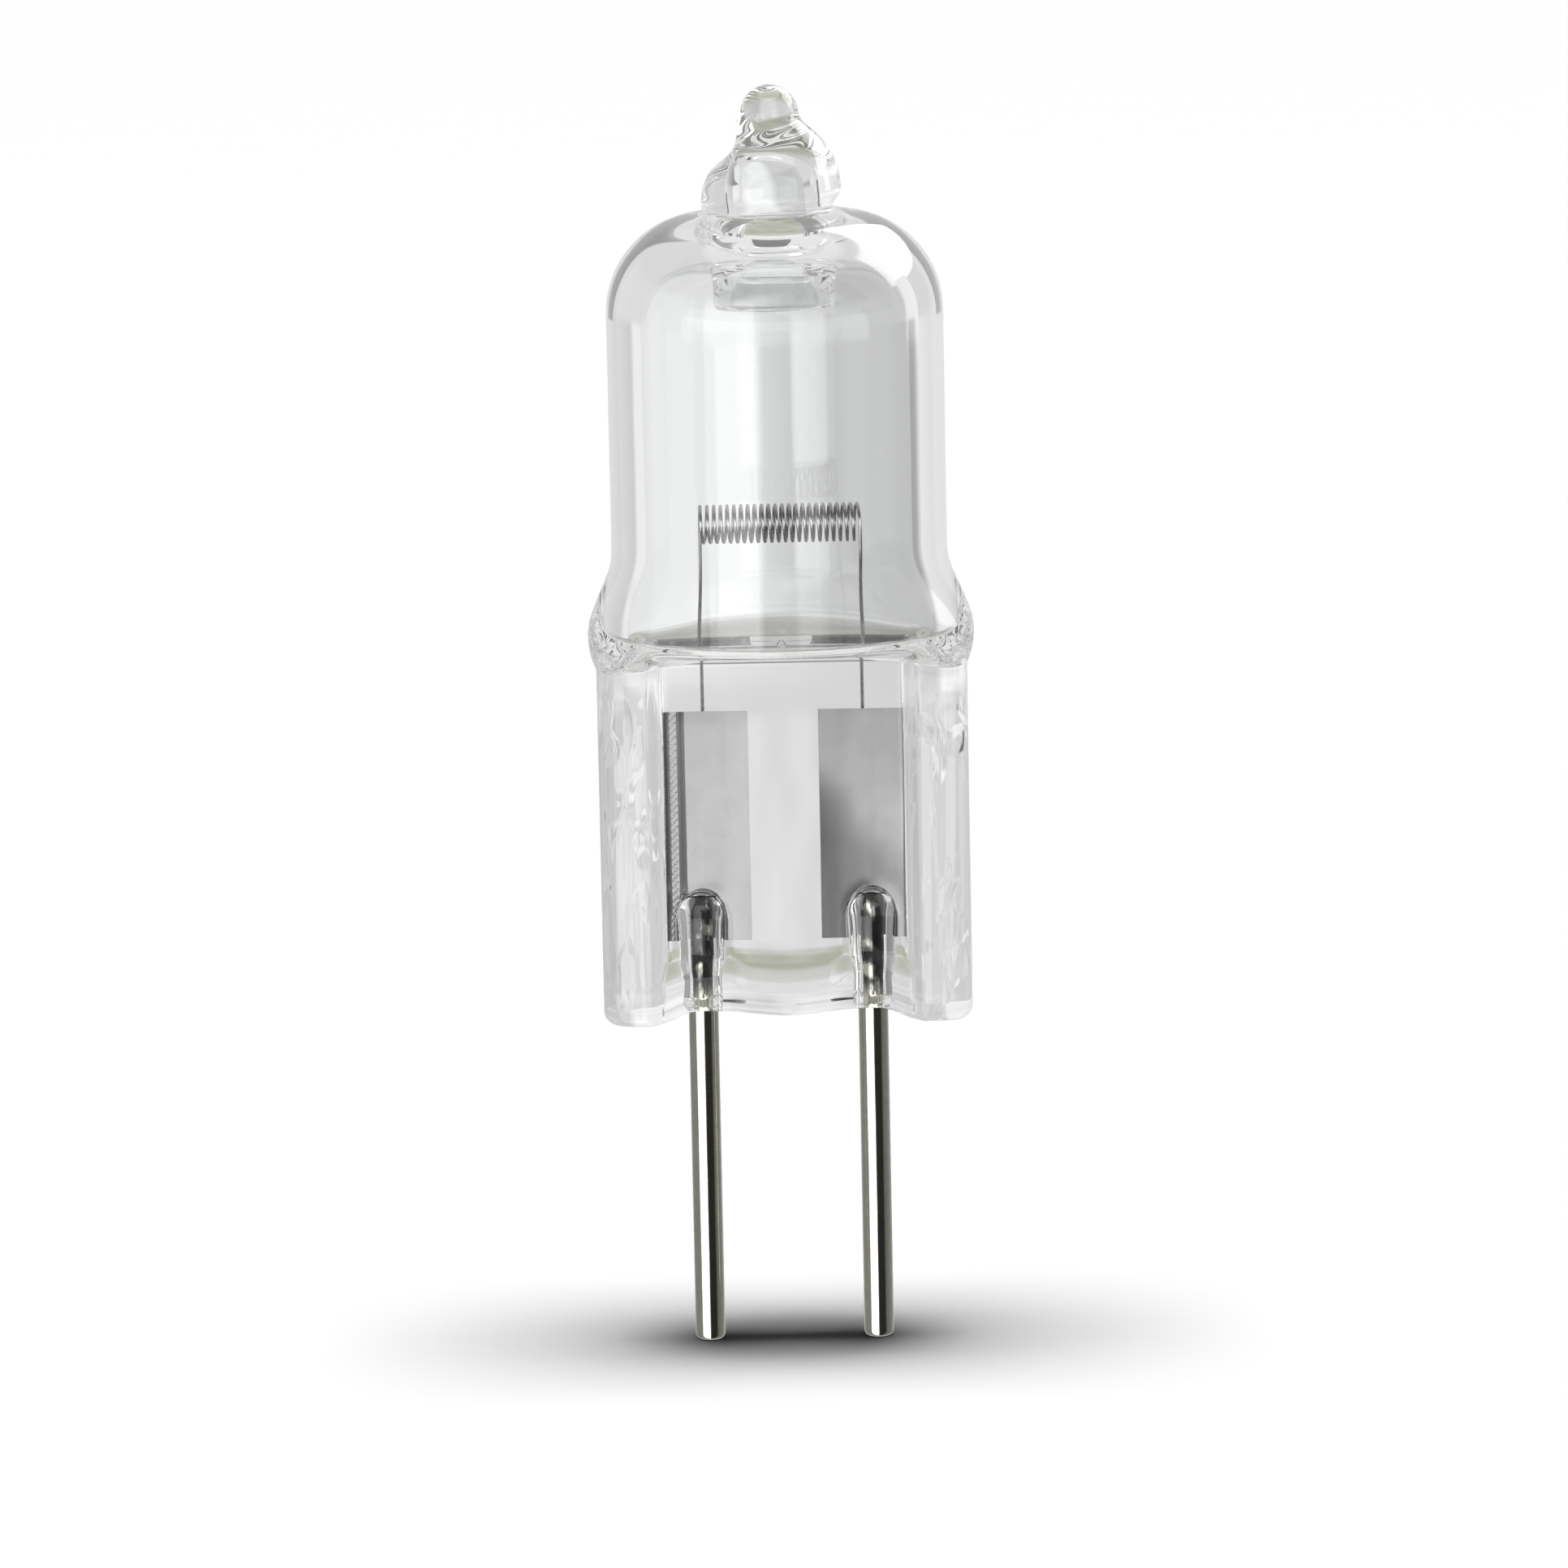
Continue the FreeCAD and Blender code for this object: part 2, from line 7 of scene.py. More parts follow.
import logging
import math
from collections.abc import Callable, Sequence
from dataclasses import dataclass, replace
from enum import Enum
from typing import ClassVar

import bpy
from mathutils import Matrix, Vector


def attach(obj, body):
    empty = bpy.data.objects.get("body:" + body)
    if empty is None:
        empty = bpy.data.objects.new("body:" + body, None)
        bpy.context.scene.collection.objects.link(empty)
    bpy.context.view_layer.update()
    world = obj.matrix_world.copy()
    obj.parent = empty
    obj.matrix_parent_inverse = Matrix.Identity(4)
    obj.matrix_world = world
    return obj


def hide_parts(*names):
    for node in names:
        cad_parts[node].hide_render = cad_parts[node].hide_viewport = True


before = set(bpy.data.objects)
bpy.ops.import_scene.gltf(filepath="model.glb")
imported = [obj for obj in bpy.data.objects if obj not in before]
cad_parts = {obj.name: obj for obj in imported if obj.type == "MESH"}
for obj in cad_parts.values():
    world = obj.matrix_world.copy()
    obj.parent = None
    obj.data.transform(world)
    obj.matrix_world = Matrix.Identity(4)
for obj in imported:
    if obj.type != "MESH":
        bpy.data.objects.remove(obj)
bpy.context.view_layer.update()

MM = 0.001
BODY = "root"
ORIGIN = (0.0, 0.0, 0.0)
FULL_TURN = 2 * math.pi
HALF_TURN = math.pi
QUARTER_TURN = math.pi / 2
SHARP_EDGE = math.radians(35)

Piece = bpy.types.Object
Material = bpy.types.Material
Tree = bpy.types.NodeTree
Socket = bpy.types.NodeSocket
Triple = tuple[float, float, float]
Colour = tuple[float, float, float]
Moves = list[tuple[float, float]]
Stops = list[tuple[float, Colour]]
Lights = tuple[tuple[float, float], ...]

log = logging.getLogger("bulb")


class Slot(Enum):
    """The record's material slots."""

    QUARTZ = "quartz"
    TUNGSTEN = "tungsten"
    FOIL = "foil"
    PIN = "pin"


@dataclass(frozen=True)
class Ring:
    """One level cross-section of a blown shape: an ellipse, with its centre moved along X by a lean."""

    level: float
    half_width: float
    half_depth: float
    lean: float = 0.0


def ease(share: float) -> float:
    """Smooth step from 0 to 1."""
    share = min(max(share, 0.0), 1.0)
    return share * share * (3 - 2 * share)


def even_slope(share: float, soft: float = 0.12) -> float:
    """An even slope from 0 to 1 with soft ends.

    Args:
        share: Where to read it, from 0 to 1.
        soft: How long each soft end is.

    Returns:
        The height of the slope there.
    """
    share = min(max(share, 0.0), 1.0)
    near = min(share, 1 - share)
    height = near**2 / (2 * soft) if near < soft else near - soft / 2
    height /= 1 - soft
    return height if share < 0.5 else 1 - height


def between(start: float, end: float, share: float) -> float:
    """The value that lies a share of the way from start to end."""
    return start + (end - start) * share


def curve_along(values: Sequence[float], place: float) -> float:
    """A smooth curve that runs along evenly spaced values, and through the first and the last.

    Args:
        values: The values that the curve follows.
        place: Where to read it, from 0 at the first value to len(values) - 1 at the last.

    Returns:
        The curve's value there.
    """
    last = len(values) - 1
    number = min(int(place), last - 1)
    share = place - number
    start, end = values[number], values[number + 1]
    before = values[number - 1] if number > 0 else 2 * start - end
    after = values[number + 2] if number + 2 <= last else 2 * end - start
    rest = 1 - share
    pull = 3 * share**3 - 6 * share**2 + 4
    next_pull = 3 * rest**3 - 6 * rest**2 + 4
    return (before * rest**3 + start * pull + end * next_pull + after * share**3) / 6


def clear_bench() -> None:
    """Leave edit mode and deselect every object."""
    if bpy.context.object and bpy.context.object.mode != "OBJECT":
        bpy.ops.object.mode_set(mode="OBJECT")
    bpy.ops.object.select_all(action="DESELECT")


def take_up(piece: Piece) -> None:
    """Make a piece the only one selected, and the active one.

    Args:
        piece: The piece.
    """
    clear_bench()
    piece.select_set(True)
    bpy.context.view_layer.objects.active = piece


def start_piece(name: str) -> Piece:
    """Name the primitive that was just added, put its place in its mesh and open it for editing.

    Args:
        name: The piece's name.

    Returns:
        The piece, in edit mode with everything selected.
    """
    piece = bpy.context.object
    piece.name = piece.data.name = name
    bpy.ops.object.transform_apply(location=True, rotation=True, scale=True)
    bpy.ops.object.mode_set(mode="EDIT")
    bpy.ops.mesh.select_all(action="SELECT")
    return piece


def finish_piece(piece: Piece, slot: Slot, material: Material, *nodes: str) -> None:
    """Bring a piece to metres and give it its finish, its body and the nodes that it stands for.

    Args:
        piece: The finished piece, in millimetres.
        slot: The record's material slot; not used.
        material: The finish.
        nodes: The nodes that the piece replaces.
    """
    take_up(piece)
    bpy.ops.transform.resize(value=(MM, MM, MM), center_override=ORIGIN)
    bpy.ops.object.transform_apply(location=True, rotation=True, scale=True)
    piece.data.materials.clear()
    piece.data.materials.append(material)
    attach(piece, BODY)
    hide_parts(*nodes)
    log.info("%s: %d faces, for %s", piece.name, len(piece.data.polygons), ", ".join(nodes))


class Part:
    """A sub-assembly of the bulb, which stands for one node of the solids."""

    slot: ClassVar[Slot]
    node: str

    def dress(self, piece: Piece, material: Material) -> None:
        """Give the built piece its finish and its node."""
        finish_piece(piece, self.slot, material, self.node)


def select_where(piece: Piece, wanted: Callable[[Vector], bool]) -> None:
    """Select the vertices of the open piece whose places pass a test.

    Args:
        piece: The piece in edit mode.
        wanted: A function from a place to whether it is wanted.
    """
    bpy.ops.mesh.select_mode(type="VERT")
    bpy.ops.mesh.select_all(action="DESELECT")
    bpy.ops.object.mode_set(mode="OBJECT")
    for vertex in piece.data.vertices:
        vertex.select = wanted(vertex.co)
    bpy.ops.object.mode_set(mode="EDIT")


def draw_out(rings: list[Ring]) -> None:
    """Draw the selected ring out through the other rings, one extrusion after another.

    Args:
        rings: The ring that is selected, and then each ring that it is drawn to.
    """
    for last, ring in zip(rings, rings[1:]):
        move = (ring.lean - last.lean, 0, ring.level - last.level)
        bpy.ops.mesh.extrude_edges_move(TRANSFORM_OT_translate={"value": move})
        scale = (ring.half_width / last.half_width, ring.half_depth / last.half_depth, 1)
        bpy.ops.transform.resize(value=scale, center_override=(ring.lean, 0, ring.level))


def blow(name: str, rings: list[Ring], sides: int) -> Piece:
    """Model a round shell from its first ring to its last.

    Args:
        name: The piece's name.
        rings: The cross-sections in order.
        sides: Vertices in each ring.

    Returns:
        The shell in edit mode, with its last ring selected.
    """
    first = rings[0]
    clear_bench()
    bpy.ops.mesh.primitive_circle_add(vertices=sides, radius=1, location=(first.lean, 0, first.level))
    piece = start_piece(name)
    scale = (first.half_width, first.half_depth, 1)
    bpy.ops.transform.resize(value=scale, center_override=(first.lean, 0, first.level))
    draw_out(rings)
    return piece


def quarter_round(
    side: float, level: float, width: float, height: float, steps: int, cut: float = 0.0
) -> list[Ring]:
    """Rings round a quarter of an ellipse, from an upright wall at its start to a flat at its end.

    Args:
        side: Half width of the wall.
        level: Level where the wall ends.
        width: How far in the edge turns.
        height: How far up it turns.
        steps: Number of rings.
        cut: How many rings of the whole edge are left off at its end.

    Returns:
        The rings after the wall's own ring.
    """
    rings = []
    for step in range(1, steps + 1):
        angle = QUARTER_TURN * step / (steps + cut)
        half = side - width * (1 - math.cos(angle))
        rings.append(Ring(level + height * math.sin(angle), half, half))
    return rings


def node_group(name: str, inputs: dict[str, float], output: str) -> Tree:
    """Start a shader node group that works on a place and gives one value.

    Args:
        name: The group's name.
        inputs: Its number inputs, with their defaults.
        output: The name of its output.

    Returns:
        The group, with its input and output nodes added.
    """
    group = bpy.data.node_groups.new(name, "ShaderNodeTree")
    group.interface.new_socket("Place", in_out="INPUT", socket_type="NodeSocketVector")
    for label, value in inputs.items():
        socket = group.interface.new_socket(label, in_out="INPUT", socket_type="NodeSocketFloat")
        socket.default_value = value
    group.interface.new_socket(output, in_out="OUTPUT", socket_type="NodeSocketFloat")
    group.nodes.new("NodeGroupInput")
    group.nodes.new("NodeGroupOutput")
    return group


def math_node(tree: Tree, operation: str, *values: Socket | float) -> Socket:
    """Add a math node.

    Args:
        tree: The node tree.
        operation: The operation's name.
        values: Sockets or numbers for its inputs.

    Returns:
        Its output.
    """
    node = tree.nodes.new("ShaderNodeMath")
    node.operation = operation
    for socket, value in zip(node.inputs, values):
        if isinstance(value, Socket):
            tree.links.new(value, socket)
        else:
            socket.default_value = value
    return node.outputs["Value"]


def noise_node(tree: Tree, place: Socket, scale: Socket | float, detail: float = 1.0) -> Socket:
    """Add a noise texture.

    Args:
        tree: The node tree.
        place: The coordinates.
        scale: A socket or a number for its scale.
        detail: Its detail.

    Returns:
        Its value, from 0 to 1.
    """
    node = tree.nodes.new("ShaderNodeTexNoise")
    tree.links.new(place, node.inputs["Vector"])
    if isinstance(scale, Socket):
        tree.links.new(scale, node.inputs["Scale"])
    else:
        node.inputs["Scale"].default_value = scale
    node.inputs["Detail"].default_value = detail
    return node.outputs["Fac"]


def stretch_node(tree: Tree, place: Socket, scale: Triple) -> Socket:
    """Add a mapping node that scales a place along each axis.

    Args:
        tree: The node tree.
        place: The coordinates.
        scale: The scale along X, Y and Z.

    Returns:
        The scaled coordinates.
    """
    node = tree.nodes.new("ShaderNodeMapping")
    node.inputs["Scale"].default_value = scale
    tree.links.new(place, node.inputs["Vector"])
    return node.outputs["Vector"]


def grain_group() -> Tree:
    """Build the grain of drawn or rolled metal: fine streaks along Z, with specks between them.

    Returns:
        The node group.
    """
    group = node_group("drawn_grain", {"Streaks": 9000.0, "Specks": 5000.0, "Speck Share": 0.4}, "Grain")
    source, sink = group.nodes["Group Input"], group.nodes["Group Output"]
    along = stretch_node(group, source.outputs["Place"], (1, 1, 0.03))
    streaks = noise_node(group, along, source.outputs["Streaks"], detail=3)
    specks = noise_node(group, source.outputs["Place"], source.outputs["Specks"], detail=2)
    mix = group.nodes.new("ShaderNodeMix")
    group.links.new(source.outputs["Speck Share"], mix.inputs["Factor"])
    group.links.new(streaks, mix.inputs["A"])
    group.links.new(specks, mix.inputs["B"])
    group.links.new(mix.outputs["Result"], sink.inputs["Grain"])
    return group


def new_material(name: str) -> tuple[Material, Tree, bpy.types.Node, Socket]:
    """Start a material.

    Args:
        name: The material's name.

    Returns:
        The material, its node tree, its shader and its Object coordinates.
    """
    material = bpy.data.materials.new(name)
    material.use_nodes = True
    tree = material.node_tree
    shader = tree.nodes["Principled BSDF"]
    place = tree.nodes.new("ShaderNodeTexCoord").outputs["Object"]
    return material, tree, shader, place


def ramp_node(tree: Tree, factor: Socket, stops: Stops) -> Socket:
    """Add a colour ramp.

    Args:
        tree: The node tree.
        factor: What the ramp reads.
        stops: Pairs of a place from 0 to 1 and a colour.

    Returns:
        Its colour.
    """
    node = tree.nodes.new("ShaderNodeValToRGB")
    elements = node.color_ramp.elements
    while len(elements) < len(stops):
        elements.new(1.0)
    for element, (place, colour) in zip(elements, stops):
        element.position = place
        element.color = (*colour, 1)
    tree.links.new(factor, node.inputs["Fac"])
    return node.outputs["Color"]


def grey(value: float) -> Colour:
    """A neutral colour."""
    return (value, value, value)


def mix_node(tree: Tree, share: Socket, first: Socket | Colour, second: Socket | Colour) -> Socket:
    """Add a node that mixes two colours.

    Args:
        tree: The node tree.
        share: How much of the second colour there is.
        first: A socket or a colour.
        second: A socket or a colour.

    Returns:
        The mixed colour.
    """
    node = tree.nodes.new("ShaderNodeMix")
    node.data_type = "RGBA"
    tree.links.new(share, node.inputs["Factor"])
    colours = [socket for socket in node.inputs if socket.type == "RGBA"]
    for socket, colour in zip(colours, (first, second)):
        if isinstance(colour, Socket):
            tree.links.new(colour, socket)
        else:
            socket.default_value = (*colour, 1)
    return next(socket for socket in node.outputs if socket.type == "RGBA")


def range_node(tree: Tree, value: Socket, start: float, end: float) -> Socket:
    """Add a node that goes smoothly from 0 to 1.

    Args:
        tree: The node tree.
        value: What it reads.
        start: The value where it is 0.
        end: The value where it is 1.

    Returns:
        Its output.
    """
    node = tree.nodes.new("ShaderNodeMapRange")
    node.interpolation_type = "SMOOTHSTEP"
    tree.links.new(value, node.inputs["Value"])
    node.inputs["From Min"].default_value = start
    node.inputs["From Max"].default_value = end
    return node.outputs["Result"]


def add_bump(tree: Tree, shader: bpy.types.Node, height: Socket, depth: float) -> None:
    """Feed a height into a shader's normal.

    Args:
        tree: The node tree.
        shader: The shader.
        height: The height, from 0 to 1.
        depth: What a height of 1 stands for, in metres.
    """
    bump = tree.nodes.new("ShaderNodeBump")
    bump.inputs["Distance"].default_value = depth
    tree.links.new(height, bump.inputs["Height"])
    tree.links.new(bump.outputs["Normal"], shader.inputs["Normal"])


@dataclass(frozen=True)
class QuartzFinish:
    """Clear fused quartz: fire-polished on the capsule, faintly rippled by the jaws on the pinch."""

    tint: Colour = (0.93, 0.937, 0.935)
    index: float = 1.46
    ripple_size: float = 900.0
    ripple_depth: float = 0.00002
    ripple_stretch: Triple = (1, 1, 0.35)
    capsule_ripple: float = 0.15
    pinch_top: float = 7.5
    pinch_fade: float = 0.6
    rim_start: float = 3.0
    rim_soft: float = 0.15
    line_start: float = 0.1
    line_fade: float = 0.6
    line_size: float = 2600.0
    line_stretch: Triple = (1, 0.4, 0.03)
    line_share: float = 4.0
    bead_size: float = 2400.0
    bead_stretch: Triple = (1, 0.4, 0.3)
    bead_start: float = 0.56
    bead_full: float = 0.7
    bead_share: float = 2.5

    def material(self) -> Material:
        """Build the finish.

        Returns:
            The material.
        """
        material, tree, shader, place = new_material("clear_quartz")
        shader.inputs["Base Color"].default_value = (*self.tint, 1)
        shader.inputs["Transmission Weight"].default_value = 1.0
        shader.inputs["IOR"].default_value = self.index
        shader.inputs["Roughness"].default_value = 0.0
        split = tree.nodes.new("ShaderNodeSeparateXYZ")
        tree.links.new(place, split.inputs["Vector"])
        level = split.outputs["Z"]
        top = self.pinch_top
        rim = self.rim_start
        below = range_node(tree, level, (top + self.pinch_fade) * MM, (top - self.pinch_fade) * MM)
        above = range_node(tree, level, self.line_start * MM, (self.line_start + self.line_fade) * MM)
        aside = math_node(tree, "ABSOLUTE", split.outputs["X"])
        rims = range_node(tree, aside, (rim - self.rim_soft) * MM, (rim + self.rim_soft) * MM)
        within = math_node(tree, "MULTIPLY", math_node(tree, "MULTIPLY", rims, below), above)
        ripple = noise_node(tree, stretch_node(tree, place, self.ripple_stretch), self.ripple_size)
        strength = math_node(tree, "MULTIPLY_ADD", below, 1 - self.capsule_ripple, self.capsule_ripple)
        ripple = math_node(tree, "MULTIPLY", ripple, strength)
        lines = noise_node(tree, stretch_node(tree, place, self.line_stretch), self.line_size)
        beads = noise_node(tree, stretch_node(tree, place, self.bead_stretch), self.bead_size)
        beads = range_node(tree, beads, self.bead_start, self.bead_full)
        lines = math_node(tree, "MULTIPLY_ADD", beads, self.bead_share / self.line_share, lines)
        lines = math_node(tree, "MULTIPLY", lines, within)
        height = math_node(tree, "MULTIPLY_ADD", lines, self.line_share, ripple)
        add_bump(tree, shader, height, self.ripple_depth)
        return material


@dataclass(frozen=True)
class MetalFinish:
    """Bare metal with the grain of its drawing or rolling, and a stain where glass is fused to it."""

    name: str
    dark: Colour
    light: Colour
    smooth: float
    rough: float
    streaks: float
    specks: float
    speck_share: float
    grain_depth: float
    stain_level: float = 100.0
    stain_fade: float = 0.5
    stain_size: float = 2600.0
    stain_colour: Colour = (0.02, 0.02, 0.019)
    blotch_start: float = 0.3
    blotch_full: float = 0.5
    dark_grain: float = 0.3
    light_grain: float = 0.7

    def material(self, grain: Tree) -> Material:
        """Build the finish.

        Args:
            grain: The shared grain group.

        Returns:
            The material.
        """
        material, tree, shader, place = new_material(self.name)
        shader.inputs["Metallic"].default_value = 1.0
        node = tree.nodes.new("ShaderNodeGroup")
        node.node_tree = grain
        tree.links.new(place, node.inputs["Place"])
        node.inputs["Streaks"].default_value = self.streaks
        node.inputs["Specks"].default_value = self.specks
        node.inputs["Speck Share"].default_value = self.speck_share
        value = node.outputs["Grain"]
        colour = ramp_node(tree, value, [(self.dark_grain, self.dark), (self.light_grain, self.light)])
        split = tree.nodes.new("ShaderNodeSeparateXYZ")
        tree.links.new(place, split.inputs["Vector"])
        start, end = self.stain_level * MM, (self.stain_level + self.stain_fade) * MM
        sealed = range_node(tree, split.outputs["Z"], start, end)
        blotches = noise_node(tree, place, self.stain_size, detail=2)
        blotches = range_node(tree, blotches, self.blotch_start, self.blotch_full)
        stain = math_node(tree, "MULTIPLY", sealed, blotches)
        tree.links.new(mix_node(tree, stain, colour, self.stain_colour), shader.inputs["Base Color"])
        roughness = tree.nodes.new("ShaderNodeMapRange")
        roughness.inputs["To Min"].default_value = self.rough
        roughness.inputs["To Max"].default_value = self.smooth
        tree.links.new(value, roughness.inputs["Value"])
        tree.links.new(roughness.outputs["Result"], shader.inputs["Roughness"])
        add_bump(tree, shader, value, self.grain_depth)
        return material


TUNGSTEN = MetalFinish(
    name="grey_tungsten",
    dark=(0.32, 0.32, 0.325),
    light=(0.5, 0.5, 0.5),
    smooth=0.1,
    rough=0.25,
    streaks=20000,
    specks=9000,
    speck_share=0.5,
    grain_depth=0.000001,
)
FOIL = MetalFinish(
    name="rolled_foil",
    dark=(0.25, 0.251, 0.25),
    light=(0.28, 0.281, 0.28),
    smooth=0.13,
    rough=0.16,
    streaks=3000,
    specks=2500,
    speck_share=0.5,
    grain_depth=0.0000001,
)
PIN = MetalFinish(
    name="drawn_pin",
    dark=(0.55, 0.54, 0.47),
    light=(0.73, 0.715, 0.63),
    smooth=0.06,
    rough=0.16,
    streaks=9000,
    specks=4500,
    speck_share=0.45,
    grain_depth=0.000003,
    stain_level=0.4,
)


@dataclass
class Envelope(Part):
    """The quartz envelope: a capsule with a sealed tip, wide at the shoulders and pinched flat below."""

    slot: ClassVar[Slot] = Slot.QUARTZ
    node: str = "quartz_envelope"
    # Fineness of the mesh
    sides: int = 256
    inner_sides: int = 192
    pocket_sides: int = 48
    foot_steps: int = 5
    edge_steps: int = 6
    pinch_step: float = 0.09
    chin_steps: int = 14
    shoulder_steps: int = 24
    tube_steps: int = 8
    dome_steps: int = 20
    tip_steps: int = 6
    floor_steps: int = 14
    wall_steps: int = 30
    lip_steps: int = 12
    bore_steps: int = 8
    bore_cut: float = 0.3
    pocket_steps: int = 9
    pocket_cut: float = 0.2
    first_ring: float = 0.02
    crowding: float = 1.5
    tolerance: float = 0.001
    # Pinch
    half_width: float = 4.33
    rim_half: float = 1.3
    rim_round: float = 0.7
    rim_inner: float = 3.0
    step_width: float = 0.4
    web_half: float = 0.9
    ridge_place: float = 2.0
    ridge_half: float = 0.62
    ridge_top: float = 3.0
    ridge_rise: float = 0.12
    ridge_round: float = 0.6
    rail_full: float = 0.29
    rail_corner: float = 0.4
    rail_corner_start: float = 0.9
    rail_corner_width: float = 0.6
    rail_start: float = 1.38
    rail_half: float = 1.15
    foot_round: float = 0.3
    foot_rise: float = 0.25
    rim_drop: float = 0.3
    rim_drop_start: float = 2.15
    lobe_drop: float = 0.13
    lobe_half: float = 1.625
    foot_fade: float = 2.5
    # Chin and shoulders
    chin: float = 8.33
    widest: float = 9.1
    shoulder_half: float = 4.52
    shoulder_spread: float = 12.0
    swell_round: float = 0.8
    front_lift: float = 0.42
    lift_start: float = 6.7
    shoulder_top: float = 11.1
    # Capsule
    tube: float = 3.92
    dome_top: float = 18.95
    dome_round: float = 2.3
    # Cavity
    bore: float = 3.12
    bore_bulge: float = 0.45
    bore_spread: float = 6.0
    floor: float = 9.0
    floor_half: float = 2.7
    floor_depth: float = 1.5
    floor_rise: float = 0.15
    ceiling: float = 18.05
    ceiling_round: float = 1.6
    # Stub of the exhaust tube
    stub: float = 1.4
    stub_drop: float = 1.2
    stub_lip: float = 0.16
    stub_flare: float = 0.12
    stub_bore: float = 0.75
    bore_top: float = 20.15
    bore_round: float = 0.6
    # Thin gap of air round each sealed pin
    pocket: float = 0.47
    pocket_floor: float = 0.423
    pocket_bottom: float = 0.33
    pocket_top: float = 3.02
    pocket_edge: float = 0.05
    pocket_waist: float = 0.08

    def tip_rings(self) -> list[Ring]:
        """Cross-sections of the sealed tip: the bead, its leaning neck and the nipple on top.

        Returns:
            The rings above the dome.
        """
        keys = (
            (0.0, 1.62, 0.0), (0.06, 1.49, -0.14), (0.24, 1.55, -0.12), (0.46, 1.63, -0.01),
            (0.75, 1.58, 0.01), (1.02, 1.47, 0.06), (1.25, 1.27, 0.18), (1.48, 1.10, 0.25),
            (1.74, 0.98, 0.17), (1.96, 0.83, 0.05), (2.14, 0.73, -0.06), (2.36, 0.70, -0.05),
            (2.60, 0.61, -0.04), (2.78, 0.47, -0.04), (2.91, 0.28, -0.04), (2.96, 0.05, -0.04),
        )
        heights, halves, leans = zip(*keys)
        least = 0.04
        steps = self.tip_steps * (len(keys) - 1)
        rings = []
        for step in range(1, steps + 1):
            place = step / self.tip_steps
            half = max(curve_along(halves, place), least)
            level = self.dome_top + curve_along(heights, place)
            rings.append(Ring(level, half, half, curve_along(leans, place)))
        return rings

    def foot_level(self, across: float) -> float:
        """Level of the pinch's foot: low under the rims, a little low under the middle lobe.

        Args:
            across: The place along X.

        Returns:
            The level.
        """
        across = abs(across)
        rim = ease((across - self.rim_drop_start) / (self.rim_inner - self.ridge_place))
        lobe = ease(1 - across / self.lobe_half)
        return self.foot_rise - self.rim_drop * rim - self.lobe_drop * lobe

    def half_thickness(self, across: float, level: float) -> float:
        """Half the thickness of the pinch: thick rims, a thin web, ridges over the pins and a rail below.

        Args:
            across: The place along X.
            level: The level.

        Returns:
            Half the thickness there.
        """
        across = abs(across)
        rim = ease((across - self.rim_inner) / self.step_width + 0.5)
        thickness = between(self.web_half, self.rim_half, rim)
        end = self.ridge_top - self.ridge_half
        away = math.hypot(across - self.ridge_place, max(level - end, 0)) / self.ridge_half
        ridge = self.ridge_rise * max(1 - away**2, 0) ** self.ridge_round
        thickness = max(thickness, self.web_half + ridge)
        corner = ease((across - self.rail_corner_start) / self.rail_corner_width)
        full = self.rail_full + self.rail_corner * corner
        rail = even_slope((self.rail_start - level) / (self.rail_start - full))
        return thickness + max(self.rail_half - thickness, 0) * rail

    def outline(self, angle: float, level: float) -> tuple[float, float, float, float]:
        """A point of the pinch's outline and which way it faces.

        Args:
            angle: The point's angle on the round tube that is pressed, in radians.
            level: The level.

        Returns:
            Its X and Y, and the X and Y of the outward direction.
        """
        across, front = math.cos(angle), math.sin(angle)
        share = math.atan2(abs(front), abs(across)) / QUARTER_TURN
        flat = self.rim_half - self.rim_round
        start = self.half_width - self.rim_round
        turn = self.rim_round * QUARTER_TURN
        length = share * (flat + turn + start)
        if length < flat:
            point = (self.half_width, length, 1, 0)
        elif length < flat + turn:
            bend = (length - flat) / self.rim_round
            aside, up = math.cos(bend), math.sin(bend)
            point = (start + self.rim_round * aside, flat + self.rim_round * up, aside, up)
        else:
            place = start - (length - flat - turn)
            point = (place, self.half_thickness(place, level), 0, 1)
        right, near = math.copysign(1, across), math.copysign(1, front)
        return point[0] * right, point[1] * near, point[2] * right, point[3] * near

    def pressed(self, angle: float, level: float) -> Vector:
        """Where the jaws press a point of the round tube.

        Args:
            angle: The point's angle on the tube, in radians.
            level: Its level, or its place on the foot, from -2 on the middle line to 0 round the edge.

        Returns:
            The pressed place.
        """
        across, front, aside, ahead = self.outline(angle, max(level, 0))
        foot = self.foot_level(across)
        if level < 0:
            bend = max(level + 1, 0) * QUARTER_TURN
            inset = self.foot_round * (1 - math.sin(bend))
            rise = self.foot_round * (1 - math.cos(bend))
            flat = min(level + 2, 1)
            return Vector((across - inset * aside, (front - inset * ahead) * flat, foot + rise))
        fade = 1 - ease(level / self.foot_fade)
        raised = level + (foot + self.foot_round) * fade
        share = min(max((level - self.chin) / (self.widest - self.chin), 0), 1)
        swell = (1 - (1 - share) ** 2) ** self.swell_round
        lift = ease((level - self.lift_start) / (self.chin - self.lift_start)) * (1 - share)
        raised += self.front_lift * lift * max(-math.sin(angle), 0) ** 2
        wide, deep = self.bulge(angle, 1.0)
        return Vector((between(across, wide, swell), between(front, deep, swell), raised))

    def bulge(self, angle: float, share: float) -> tuple[float, float]:
        """X and Y of a point of the tube where its sides bulge, by a share of the full bulge.

        Args:
            angle: The point's angle on the tube, in radians.
            share: How much of the bulge there is.

        Returns:
            The point's X and Y.
        """
        spread = abs(math.cos(angle)) ** self.shoulder_spread
        radius = self.tube + (self.shoulder_half - self.tube) * share * spread
        return radius * math.cos(angle), radius * math.sin(angle)

